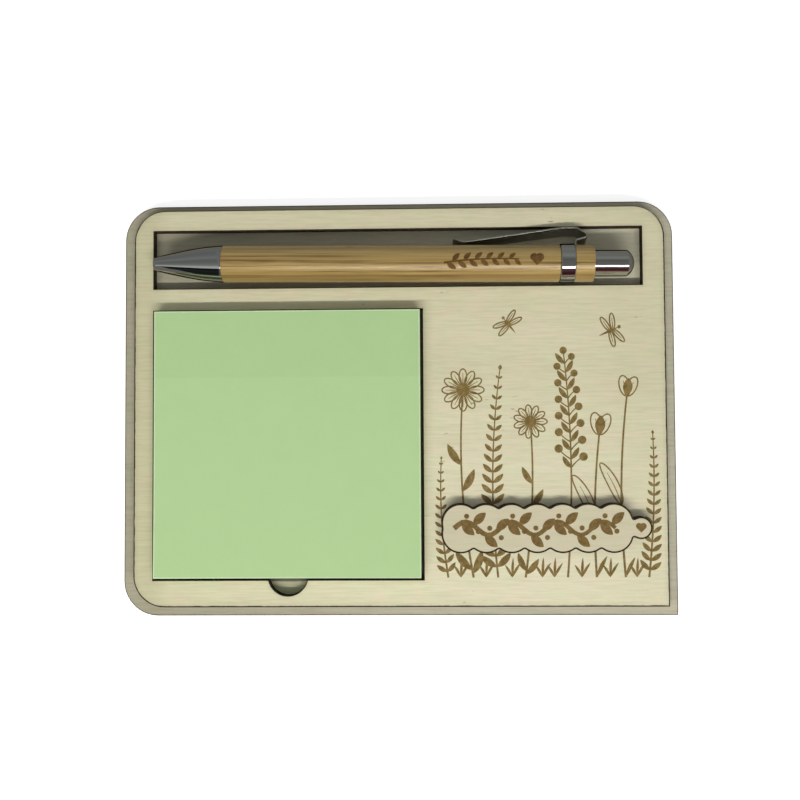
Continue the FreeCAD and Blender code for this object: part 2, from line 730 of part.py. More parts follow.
def make_refill_tube():
    """Turn the ink tube, with the collar that the spring pushes on."""
    body = new_body("refill_tube", PEN_PLACE)
    collar_rear = "Fit.collar_front + Size.collar_length"
    corners = [
        ("Fit.tube_front", "Fit.tube_bore"),
        ("Fit.tube_front", "Size.refill_tube_radius"),
        ("Fit.collar_front", "Size.refill_tube_radius"),
        ("Fit.collar_front", "Size.collar_radius"),
        (collar_rear, "Size.collar_radius"),
        (collar_rear, "Size.refill_tube_radius"),
        ("Fit.tube_rear", "Size.refill_tube_radius"),
        ("Fit.tube_rear", "Fit.tube_bore"),
    ]
    revolved(body, "profile", corners)
    return body


def make_refill_tip():
    """Turn the brass tip, with the ball's right-angled seat and the shank pressed into the ink tube."""
    body = new_body("refill_tip", PEN_PLACE)
    shank = "Fit.tube_bore - Size.refill_fit_gap"
    cone_rear = "Size.ball_setback + Size.refill_cone_length"
    corners = [
        ("Size.ball_setback", "Fit.ball_seat_radius"),
        ("Size.ball_setback + Fit.ball_seat_radius", "0"),
        ("Fit.shank_rear", "0"),
        ("Fit.shank_rear", shank),
        ("Fit.tube_front", shank),
        ("Fit.tube_front", "Size.refill_tip_radius"),
        (cone_rear, "Size.refill_tip_radius"),
        ("Size.ball_setback", "Fit.ball_lip_radius"),
    ]
    revolved(body, "profile", corners)
    return body


def make_writing_ball():
    """Make the ball that writes."""
    ball = doc.addObject("Part::Sphere", "writing_ball")
    ball.Label = "writing_ball"
    ball.setExpression("Radius", "Size.ball_radius")
    ball.setExpression("Placement", f"{PEN_PLACE} * {resting('Size.ball_setback', '0', '0')}")
    return ball


def make_ink_column():
    """Make the ink that stands in the tube behind the tip."""
    body = new_body("ink_column", PEN_PLACE)
    front = "Fit.shank_rear + Size.refill_fit_gap"
    side = "Fit.tube_bore - Size.refill_fit_gap"
    revolved(body, "profile", rectangle(front, "0", f"{front} + Size.ink_length", side))
    return body


def make_pocket_clip():
    """Bend the clip from a strip: its root in the tail sleeve, a hairpin, the arm and the turned-up toe."""
    body = new_body("pocket_clip", PEN_PLACE)
    path = new_sketch(body, "path", "XY_Plane")
    points = [
        ("Fit.clip_root", "Fit.clip_start"),
        ("Fit.clip_root", "Fit.clip_low"),
        ("Fit.clip_root + Size.clip_apex_reach", "Fit.clip_apex"),
        ("Fit.clip_top_end", "Fit.clip_top"),
        ("Fit.clip_arm_start", "Fit.clip_top"),
        ("Fit.clip_toe_end", "Fit.clip_toe"),
        ("Fit.clip_toe_end - Size.clip_toe_length", "Fit.clip_toe + Size.clip_toe_rise"),
    ]
    bend = "Size.clip_bend_radius"
    draw_bent_path(path, points, [bend, bend, bend, "Size.clip_sweep_radius", "Size.clip_toe_radius"])
    section = new_sketch(body, "section", "XZ_Plane", "-Fit.clip_start")
    front = "Fit.clip_root - Size.clip_thickness / 2"
    rear = "Fit.clip_root + Size.clip_thickness / 2"
    draw_outline(section, rectangle(front, "-Size.clip_width / 2", rear, "Size.clip_width / 2"))
    doc.recompute()
    strip = body.newObject("PartDesign::AdditivePipe", "pocket_clip_strip")
    strip.Profile = section
    strip.Spine = (path, [f"Edge{i}" for i in range(1, len(path.Shape.Edges) + 1)])
    doc.recompute()
    toe = number("Fit.clip_toe_end - Size.clip_toe_length / 2")
    thickness = number("Size.clip_thickness")

    def is_toe_corner(edge):
        """Tell whether an edge is one of the two corners at the clip's free end."""
        return edge.CenterOfMass.x < toe and abs(edge.Length - thickness) < CLOSE

    dressed(body, "Fillet", strip, is_toe_corner, "Radius", "Size.clip_toe_corner")
    return body


def make_return_spring():
    """Wind the spring between the nose's seat and the refill's collar, a ruled loft along a helix.

    The wire has six sides, and each turn has twelve sections, square to the helix.
    """
    wire = number("Size.spring_wire_radius")
    coil = number("Fit.coil_radius")
    turns = int(number("Size.spring_turns"))
    front = number("Size.spring_seat + Size.spring_end_gap") + wire
    length = number("Size.spring_length - 2 * Size.spring_end_gap") - 2 * wire
    pitch = length / turns
    sides = 6
    sections_per_turn = 12
    points = []
    sections = []
    for step in range(turns * sections_per_turn + 1):
        angle = math.tau * step / sections_per_turn
        outward = Vector(0, math.cos(angle), math.sin(angle))
        point = outward * coil + Vector(front + pitch * step / sections_per_turn, 0, 0)
        way = Vector(pitch / math.tau, -coil * math.sin(angle), coil * math.cos(angle)).normalize()
        sideways = way.cross(outward)
        turn = [math.tau * side / sides for side in range(sides + 1)]
        rim = [point + outward * (wire * math.cos(a)) + sideways * (wire * math.sin(a)) for a in turn]
        points.append(point)
        sections.append(Part.makePolygon(rim))
    next_turn = range(sections_per_turn * 3 // 4, sections_per_turn * 5 // 4)
    first_turn = range(sections_per_turn)
    apart = min(points[i].distanceToPoint(points[i + k]) for i in first_turn for k in next_turn)
    print(f"return_spring: least gap between turns {apart - 2 * wire:.2f} mm")
    spring = doc.addObject("Part::Feature", "return_spring")
    spring.Label = "return_spring"
    spring.Shape = Part.makeLoft(sections, True, True)
    spring.setExpression("Placement", PEN_PLACE)
    return spring


def check_document():
    """Stop if any object of the document failed to build."""
    for item in doc.Objects:
        if {"Invalid", "Error"} & set(item.State):
            raise RuntimeError(f"{item.Name} failed: {item.State}")


def write_pieces(pieces):
    """Check each piece's shape, then write it to a file named after it."""
    for piece in pieces:
        if piece.Shape.isNull() or not piece.Shape.isValid():
            raise RuntimeError(f"{piece.Label} has no valid shape")
    os.makedirs("parts", exist_ok=True)
    for piece in pieces:
        piece.Shape.exportStep(os.path.join("parts", f"{piece.Label}.step"))


def main():
    """Build every piece of the tray, the notes and the pen, and write them."""
    pieces = [
        make_base_plate(),
        make_top_frame(),
        make_plaque(),
        make_sheet_stack("backing_sheet", "Size.base_thickness", "Size.backing_thickness"),
        make_sheet_stack("note_block", "Fit.block_floor", "Size.note_block_thickness"),
        make_sheet_stack("top_note", "Fit.block_top", "Size.note_thickness"),
        make_nose_cone(),
        make_barrel(),
        make_barrel_insert(),
        make_centre_band(),
        make_tail_sleeve(),
        make_mechanism_housing(),
        make_pocket_clip(),
        make_push_button(),
        make_plunger(),
        make_cam_rotor(),
        make_refill_tube(),
        make_refill_tip(),
        make_writing_ball(),
        make_ink_column(),
        make_return_spring(),
    ]
    doc.recompute()
    check_document()
    write_pieces(pieces)


main()
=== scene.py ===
"""Looks of a plywood desk tray with its pad of sticky notes and its push-button pen.

Lengths in the classes are millimetres in the part's own frame: +X runs along the pen slot,
+Y from the finger notch to the slot, and +Z up. Meshes are made in metres.
"""

import json
import logging
import math
from collections.abc import Callable
from dataclasses import dataclass, field
from enum import Enum

import bmesh
import bpy
import numpy as np
from mathutils import Matrix, Vector


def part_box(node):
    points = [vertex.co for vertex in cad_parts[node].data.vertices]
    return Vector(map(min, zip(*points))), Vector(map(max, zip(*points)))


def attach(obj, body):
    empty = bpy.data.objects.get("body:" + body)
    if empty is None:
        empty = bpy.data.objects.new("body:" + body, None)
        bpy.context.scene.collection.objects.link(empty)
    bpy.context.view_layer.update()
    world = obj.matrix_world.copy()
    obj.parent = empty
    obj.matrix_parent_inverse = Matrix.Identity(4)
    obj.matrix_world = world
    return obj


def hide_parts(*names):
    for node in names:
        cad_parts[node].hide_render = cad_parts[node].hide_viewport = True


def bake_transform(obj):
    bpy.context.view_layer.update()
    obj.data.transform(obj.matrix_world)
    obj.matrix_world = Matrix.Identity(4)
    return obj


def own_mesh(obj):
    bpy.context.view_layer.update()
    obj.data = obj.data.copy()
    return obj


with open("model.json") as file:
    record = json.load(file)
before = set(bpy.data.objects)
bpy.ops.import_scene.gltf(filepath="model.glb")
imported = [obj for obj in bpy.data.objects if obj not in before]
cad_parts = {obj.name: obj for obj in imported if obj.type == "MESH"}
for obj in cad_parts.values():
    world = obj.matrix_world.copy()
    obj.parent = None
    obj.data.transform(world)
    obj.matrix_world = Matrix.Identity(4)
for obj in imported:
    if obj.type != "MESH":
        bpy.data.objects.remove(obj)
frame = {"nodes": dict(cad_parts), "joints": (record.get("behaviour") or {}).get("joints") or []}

LOG = logging.getLogger("note_tray")
MM = 0.001
PHOTO_SIDE_PX = 800

Array = np.ndarray
Point = tuple[float, float]
Triple = tuple[float, float, float]
Colour = Triple
Faces = list[list[int]]
Bands = tuple[tuple[float, float, float, float], ...]
Socket = bpy.types.NodeSocket
Material = bpy.types.Material
Surface = Callable[[Array, Array, Array], Array]


def tone(red: float, green: float, blue: float) -> Colour:
    """Turn a display colour of 0 to 255 into a linear one.

    Args:
        red: Display red.
        green: Display green.
        blue: Display blue.

    Returns:
        The linear colour.
    """
    display = np.array([red, green, blue]) / 255
    low = display / 12.92
    high = ((display + 0.055) / 1.055) ** 2.4
    return tuple(float(c) for c in np.where(display <= 0.04045, low, high))


def unit(vectors: Array) -> Array:
    """Scale vectors, held in the last axis, to a length of one."""
    return vectors / np.linalg.norm(vectors, axis=-1, keepdims=True)


def joint(name: str) -> dict:
    """Find one of the part's joints by its name."""
    return next(item for item in frame["joints"] if item["name"] == name)


def box_mm(node: str) -> tuple[Array, Array]:
    """Give the lowest and highest corner of a CAD node in millimetres."""
    low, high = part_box(node)
    return np.array(low) / MM, np.array(high) / MM


def filleted(points: Array, radii: Array, steps: int = 8) -> Array:
    """Round the inner corners of an open polyline with arcs tangent to both of their sides.

    An arc's points turn evenly from the side before the corner to the side after it.

    Args:
        points: The polyline's points, n by 2.
        radii: The radius at each inner point.
        steps: Points on each arc.

    Returns:
        The rounded polyline.
    """
    here = points[1:-1]
    back = unit(points[:-2] - here)
    ahead = unit(points[2:] - here)
    half = np.arccos(np.clip((back * ahead).sum(1), -1, 1)) / 2
    cut = (radii / np.tan(half))[:, None]
    centre = here + unit(back + ahead) * (radii / np.sin(half))[:, None]
    first = here + back * cut - centre
    last = here + ahead * cut - centre
    turn = (math.pi - 2 * half)[:, None, None]
    t = np.linspace(0, 1, steps)[None, :, None]
    arcs = (np.sin((1 - t) * turn) * first[:, None] + np.sin(t * turn) * last[:, None]) / np.sin(turn)
    arcs += centre[:, None]
    return np.vstack([points[:1], arcs.reshape(-1, 2), points[-1:]])


def resampled(path: Array, spacing: float) -> Array:
    """Spread points evenly along an open polyline by their distance along it.

    Args:
        path: The polyline, n by 2.
        spacing: The wanted distance between points.

    Returns:
        The new points, with the first and last kept.
    """
    run = np.concatenate([[0], np.cumsum(np.linalg.norm(np.diff(path, axis=0), axis=1))])
    at = np.linspace(0, run[-1], max(int(run[-1] / spacing), 2))
    return np.stack([np.interp(at, run, path[:, 0]), np.interp(at, run, path[:, 1])], axis=1)


def grid_faces(rows: int, columns: int, close_rows: bool = False, close_columns: bool = False) -> Array:
    """List the quads of a grid of points that is numbered row by row.

    Args:
        rows: Points along the first parameter.
        columns: Points along the second parameter.
        close_rows: Whether the last row joins the first.
        close_columns: Whether the last column joins the first.

    Returns:
        Four point numbers for each quad.
    """
    i, j = np.meshgrid(
        np.arange(rows if close_rows else rows - 1),
        np.arange(columns if close_columns else columns - 1),
        indexing="ij",
    )
    below = (i + 1) % rows
    beside = (j + 1) % columns
    quads = [i * columns + j, i * columns + beside, below * columns + beside, below * columns + j]
    return np.stack(quads, axis=-1).reshape(-1, 4)


def capped_faces(rows: int, columns: int) -> Faces:
    """List the faces of a closed tube: the quads between its rings, and a cap on each end.

    Args:
        rows: Rings along the tube.
        columns: Points round a ring.

    Returns:
        The point numbers of each face.
    """
    caps = np.arange(rows * columns).reshape(rows, columns)[[0, -1]]
    return grid_faces(rows, columns, close_columns=True).tolist() + caps.tolist()


def dress(node: str, material: Material) -> None:
    """Give a CAD node that shows as it is its finish.

    Args:
        node: The node's name.
        material: Its finish.
    """
    mesh = frame["nodes"][node].data
    mesh.materials.clear()
    mesh.materials.append(material)
    LOG.info("%s: dressed in %s", node, material.name)


def mark(piece: bpy.types.Object, name: str, values: Array) -> None:
    """Give each point of a piece a value that its finish reads.

    Args:
        piece: The piece.
        name: The value's name.
        values: One value for each point.
    """
    attribute = piece.data.attributes.new(name, "FLOAT", "POINT")
    attribute.data.foreach_set("value", values.astype(np.float32))


def new_piece(
    name: str,
    points: Array,
    faces: Faces,
    material: Material,
    body: str,
    stands_for: tuple[str, ...] = (),
    crease: float = 32.0,
) -> bpy.types.Object:
    """Make a closed mesh a piece of the part that rides on a body.

    Args:
        name: The piece's name.
        points: Its points in millimetres, n by 3.
        faces: The point numbers of each face.
        material: Its finish.
        body: The CAD body that it moves with.
        stands_for: CAD nodes that it replaces.
        crease: Edges with a sharper angle than this, in degrees, are not shaded smooth.

    Returns:
        The new object.
    """
    mesh = bpy.data.meshes.new(name)
    mesh.from_pydata((points * MM).tolist(), [], faces)
    shape = bmesh.new()
    shape.from_mesh(mesh)
    bmesh.ops.remove_doubles(shape, verts=shape.verts, dist=1e-8)
    bmesh.ops.recalc_face_normals(shape, faces=shape.faces)
    shape.to_mesh(mesh)
    shape.free()
    mesh.polygons.foreach_set("use_smooth", np.ones(len(mesh.polygons), dtype=bool))
    mesh.set_sharp_from_angle(angle=math.radians(crease))
    mesh.materials.append(material)
    piece = bpy.data.objects.new(name, mesh)
    bpy.context.scene.collection.objects.link(piece)
    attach(piece, body)
    if stands_for:
        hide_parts(*stands_for)
    LOG.info("%s: %d faces on %s", name, len(mesh.polygons), body)
    return piece


class NodeSheet:
    """Adds nodes to one shader tree and wires them."""

    def __init__(self, tree: bpy.types.NodeTree) -> None:
        """Take the tree that the nodes go into."""
        self.tree = tree

    def add(self, kind: str, inputs: dict | None = None, **settings: object) -> bpy.types.Node:
        """Add a node, set its properties, and give its inputs values or wires.

        Args:
            kind: Blender's name of the node type, without its "ShaderNode" start.
            inputs: Values or output sockets, by input name or number.
            settings: Properties of the node.

        Returns:
            The new node.
        """
        node = self.tree.nodes.new(f"ShaderNode{kind}")
        for name, value in settings.items():
            setattr(node, name, value)
        for key, value in (inputs or {}).items():
            if isinstance(value, Socket):
                self.tree.links.new(value, node.inputs[key])
            else:
                node.inputs[key].default_value = value
        return node

    def math(self, operation: str, first: object, second: object = 0.0) -> Socket:
        """Give the output of a maths node on two numbers or sockets."""
        return self.add("Math", {0: first, 1: second}, operation=operation).outputs[0]

    def mix(self, share: object, first: object, second: object, blend: str = "MIX") -> Socket:
        """Give the output of a colour mix of two colours or sockets."""
        inputs = {0: share, 6: first, 7: second}
        return self.add("Mix", inputs, data_type="RGBA", blend_type=blend).outputs[2]

    def step(self, value: object, low: float, high: float, start: float = 0, end: float = 1) -> Socket:
        """Give a smooth step from start to end as a value goes from low to high."""
        inputs = {0: value, 1: low, 2: high, 3: start, 4: end}
        return self.add("MapRange", inputs, interpolation_type="SMOOTHSTEP").outputs[0]

    def noise(self, vector: object, scale: float, detail: float = 2, roughness: float = 0.5) -> Socket:
        """Give the value of a noise texture."""
        inputs = {"Vector": vector, "Scale": scale, "Detail": detail, "Roughness": roughness}
        return self.add("TexNoise", inputs).outputs[0]

    def stretched(self, vector: object, scale: Triple, turn: float = 0, shift: Triple = (0, 0, 0)) -> Socket:
        """Give coordinates that are shifted, turned about Z by degrees and scaled.

        Args:
            vector: The coordinates.
            scale: What each axis is multiplied by.
            turn: How far they turn about Z, in degrees.
            shift: How far they move, in metres.

        Returns:
            The changed coordinates.
        """
        rotation = (0, 0, math.radians(turn))
        inputs = {"Vector": vector, "Location": shift, "Rotation": rotation, "Scale": scale}
        return self.add("Mapping", inputs).outputs[0]


def opaque(colour: Colour) -> tuple[float, float, float, float]:
    """Add full opacity to a colour."""
    return (*colour, 1.0)


class Effect:
    """A node group, built once, that several materials place with their own values."""

    built: dict[str, bpy.types.NodeTree] = {}

    @classmethod
    def start(
        cls, name: str, inputs: dict[str, str], outputs: dict[str, str]
    ) -> tuple[NodeSheet, dict, dict]:
        """Make an empty group with named sockets.

        Args:
            name: The group's name.
            inputs: Socket types by input name.
            outputs: Socket types by output name.

        Returns:
            The sheet to draw on, the group's input sockets and its output sockets.
        """
        tree = bpy.data.node_groups.new(name, "ShaderNodeTree")
        for way, sockets in (("INPUT", inputs), ("OUTPUT", outputs)):
            for label, kind in sockets.items():
                tree.interface.new_socket(name=label, in_out=way, socket_type=f"NodeSocket{kind}")
        source = tree.nodes.new("NodeGroupInput")
        sink = tree.nodes.new("NodeGroupOutput")
        cls.built[name] = tree
        return NodeSheet(tree), source.outputs, sink.inputs

    @classmethod
    def wood_grain(cls) -> bpy.types.NodeTree:
        """Build the grain of wood: soft bands, fine fibres and small dark flecks along X.

        Returns:
            The group, which puts out a colour and a height.
        """
        if "wood_grain" in cls.built:
            return cls.built["wood_grain"]
        sockets = {"Vector": "Vector", "Pale": "Color", "Deep": "Color", "Fleck": "Color"}
        sockets |= {"Bands": "Float", "Fibres": "Float", "Flecks": "Float"}
        sheet, given, out = cls.start("wood_grain", sockets, {"Color": "Color", "Height": "Float"})
        bands = sheet.noise(sheet.stretched(given["Vector"], (0.05, 1, 1)), 120, 3, 0.6)
        fibres = sheet.noise(sheet.stretched(given["Vector"], (0.07, 1, 1)), 1500, 4, 0.65)
        pores = sheet.noise(sheet.stretched(given["Vector"], (0.3, 1, 1)), 1150, 1, 0.4)
        places = sheet.step(sheet.noise(given["Vector"], 95, 1, 0.4), 0.65, 0.72)
        fleck = sheet.math("MULTIPLY", sheet.step(pores, 0.68, 0.74), places)
        band_share = sheet.math("MULTIPLY", sheet.step(bands, 0.3, 0.72), given["Bands"])
        fibre_share = sheet.math("MULTIPLY", sheet.step(fibres, 0.36, 0.68), given["Fibres"])
        share = sheet.math("ADD", band_share, fibre_share)
        plain = sheet.mix(share, given["Pale"], given["Deep"])
        fleck_share = sheet.math("MULTIPLY", fleck, given["Flecks"])
        sheet.tree.links.new(sheet.mix(fleck_share, plain, given["Fleck"]), out["Color"])
        height = sheet.math("SUBTRACT", 1.0, sheet.math("ADD", fibre_share, fleck_share))
        sheet.tree.links.new(height, out["Height"])
        return sheet.tree

    @classmethod
    def scorch(cls) -> bpy.types.NodeTree:
        """Build the brown of wood burnt by a laser: uneven, with the fine lines of the beam's passes.

        Returns:
            The group, which puts out a colour.
        """
        if "scorch" in cls.built:
            return cls.built["scorch"]
        sockets = {"Vector": "Vector", "Light": "Color", "Dark": "Color", "Line Scale": "Float"}
        sheet, given, out = cls.start("scorch", sockets, {"Color": "Color"})
        lines = {"Vector": given["Vector"], "Scale": given["Line Scale"], "Distortion": 1.5, "Detail": 1.0}
        passes = sheet.add("TexWave", lines, bands_direction="Y").outputs[1]
        patches = sheet.noise(given["Vector"], 900, 3, 0.6)
        share = sheet.math("ADD", sheet.math("MULTIPLY", passes, 0.35), sheet.step(patches, 0.3, 0.75))
        sheet.tree.links.new(sheet.mix(share, given["Light"], given["Dark"]), out["Color"])
        return sheet.tree

    @classmethod
    def cut_line(cls) -> bpy.types.NodeTree:
        """Build the line beside a cut along a rounded rectangle: mostly the burn that a laser leaves; the
        base also lays painted shade with it, and the paper a painted highlight.

        The distance to the outline is that of a box with round corners: how far a point lies beyond
        the box shrunk by the radius, less the radius. The front right corner may stay square, and
        the line may fade out along the back.

        Returns:
            The group, which puts out a mask of the line, whether burnt or painted light, and one of the
            faint smoke beside it.
        """
        if "cut_line" in cls.built:
            return cls.built["cut_line"]
        sockets = {"Vector": "Vector", "Centre": "Vector", "Half": "Vector"}
        sockets |= {"Radius": "Float", "Square": "Float", "Reach": "Float", "Bare Back": "Float"}
        sheet, given, out = cls.start("cut_line", sockets, {"Burn And Painted Light": "Float", "Smoke": "Float"})
        ends = {0: given["Vector"], 1: given["Centre"]}
        offset = sheet.add("VectorMath", ends, operation="SUBTRACT").outputs[0]
        x, y, _ = sheet.add("SeparateXYZ", {0: offset}).outputs
        half_x, half_y, _ = sheet.add("SeparateXYZ", {0: given["Half"]}).outputs
        on_right = sheet.math("GREATER_THAN", x, 0.0)
        right_front = sheet.math("MULTIPLY", on_right, sheet.math("LESS_THAN", y, 0.0))
        round_share = sheet.math("SUBTRACT", 1.0, sheet.math("MULTIPLY", right_front, given["Square"]))
        radius = sheet.math("MULTIPLY", given["Radius"], round_share)
        over_x = sheet.math("ADD", sheet.math("SUBTRACT", sheet.math("ABSOLUTE", x), half_x), radius)
        over_y = sheet.math("ADD", sheet.math("SUBTRACT", sheet.math("ABSOLUTE", y), half_y), radius)
        past = {0: sheet.math("MAXIMUM", over_x, 0.0), 1: sheet.math("MAXIMUM", over_y, 0.0)}
        corner = sheet.add("CombineXYZ", past).outputs[0]
        beyond = sheet.add("VectorMath", {0: corner}, operation="LENGTH").outputs["Value"]
        within = sheet.math("MINIMUM", sheet.math("MAXIMUM", over_x, over_y), 0.0)
        distance = sheet.math("ABSOLUTE", sheet.math("SUBTRACT", sheet.math("ADD", beyond, within), radius))
        wander = sheet.math("MULTIPLY", sheet.noise(given["Vector"], 450, 2, 0.5), 0.8)
        uneven = sheet.math("ADD", 0.6, wander)
        share = sheet.math("DIVIDE", distance, sheet.math("MULTIPLY", given["Reach"], uneven))
        near_back = sheet.step(sheet.math("SUBTRACT", y, half_y), -6 * MM, -1 * MM)
        kept = sheet.math("SUBTRACT", 1.0, sheet.math("MULTIPLY", near_back, given["Bare Back"]))
        burn = sheet.math("MULTIPLY", sheet.step(share, 0.55, 1.15, 1, 0), kept)
        sheet.tree.links.new(burn, out["Burn And Painted Light"])
        sheet.tree.links.new(sheet.step(share, 0.6, 4.5, 1, 0), out["Smoke"])
        return sheet.tree

    @classmethod
    def fibre(cls) -> bpy.types.NodeTree:
        """Build the fine felt of paper and card.

        Returns:
            The group, which puts out a tint around one and a height.
        """
        if "fibre" in cls.built:
            return cls.built["fibre"]
        sockets = {"Vector": "Vector", "Contrast": "Float"}
        sheet, given, out = cls.start("fibre", sockets, {"Tint": "Float", "Height": "Float"})
        felt = sheet.noise(given["Vector"], 3200, 3, 0.7)
        clouds = sheet.noise(given["Vector"], 160, 2, 0.5)
        both = sheet.math("ADD", sheet.math("MULTIPLY", felt, 0.6), sheet.math("MULTIPLY", clouds, 0.4))
        swing = sheet.math("MULTIPLY", sheet.math("SUBTRACT", both, 0.5), given["Contrast"])
        sheet.tree.links.new(sheet.math("ADD", swing, 1.0), out["Tint"])
        sheet.tree.links.new(felt, out["Height"])
        return sheet.tree

    @classmethod
    def handling(cls) -> bpy.types.NodeTree:
        """Build the wear of a handled surface: faint smears and hair scratches.

        Returns:
            The group, which puts out a roughness and a height.
        """
        if "handling" in cls.built:
            return cls.built["handling"]
        sockets = {"Vector": "Vector", "Clean": "Float", "Smeared": "Float"}
        sheet, given, out = cls.start("handling", sockets, {"Roughness": "Float", "Height": "Float"})
        smears = sheet.step(sheet.noise(given["Vector"], 260, 3, 0.6), 0.35, 0.75)
        spread = sheet.math("MULTIPLY", smears, sheet.math("SUBTRACT", given["Smeared"], given["Clean"]))
        sheet.tree.links.new(sheet.math("ADD", spread, given["Clean"]), out["Roughness"])
        hairs = sheet.noise(sheet.stretched(given["Vector"], (0.05, 1, 1)), 4000, 2, 0.6)
        sheet.tree.links.new(hairs, out["Height"])
        return sheet.tree


class Finish:
    """A surface finish that makes one Blender material."""

    name: str

    def sheet(self) -> tuple[Material, NodeSheet, bpy.types.Node, Socket]:
        """Start a material.

        Returns:
            The material, its sheet of nodes, its Principled shader and its object coordinates.
        """
        material = bpy.data.materials.new(self.name)
        material.use_nodes = True
        sheet = NodeSheet(material.node_tree)
        shader = material.node_tree.nodes["Principled BSDF"]
        coordinates = sheet.add("TexCoord").outputs["Object"]
        return material, sheet, shader, coordinates

    @staticmethod
    def roughen(sheet: NodeSheet, shader: bpy.types.Node, height: object, depth_mm: float) -> None:
        """Bump a shader's normal by a height of the given depth."""
        bump = sheet.add("Bump", {"Height": height, "Strength": 1.0, "Distance": depth_mm * MM})
        sheet.tree.links.new(bump.outputs[0], shader.inputs["Normal"])


@dataclass(frozen=True)
class Cut:
    """A laser cut along a rounded rectangle, in millimetres, and how dark its burnt line is; the same line
    also lays painted shade and a painted highlight.
    """

    low: Point
    high: Point
    radius: float
    burn: float
    square_corner: bool = False
    reach: float = 0.36
    bare_back: float = 0.0

    def inputs(self, coordinates: Socket) -> dict[str, object]:
        """Give the inputs of the cut-line group.

        Args:
            coordinates: The object coordinates.

        Returns:
            Values and sockets by input name.
        """
        centre = [(a + b) / 2 * MM for a, b in zip(self.low, self.high)]
        half = [(b - a) / 2 * MM for a, b in zip(self.low, self.high)]
        values = {"Vector": coordinates, "Centre": (*centre, 0), "Half": (*half, 0)}
        values |= {"Radius": self.radius * MM, "Square": float(self.square_corner)}
        return values | {"Reach": self.reach * MM, "Bare Back": self.bare_back}


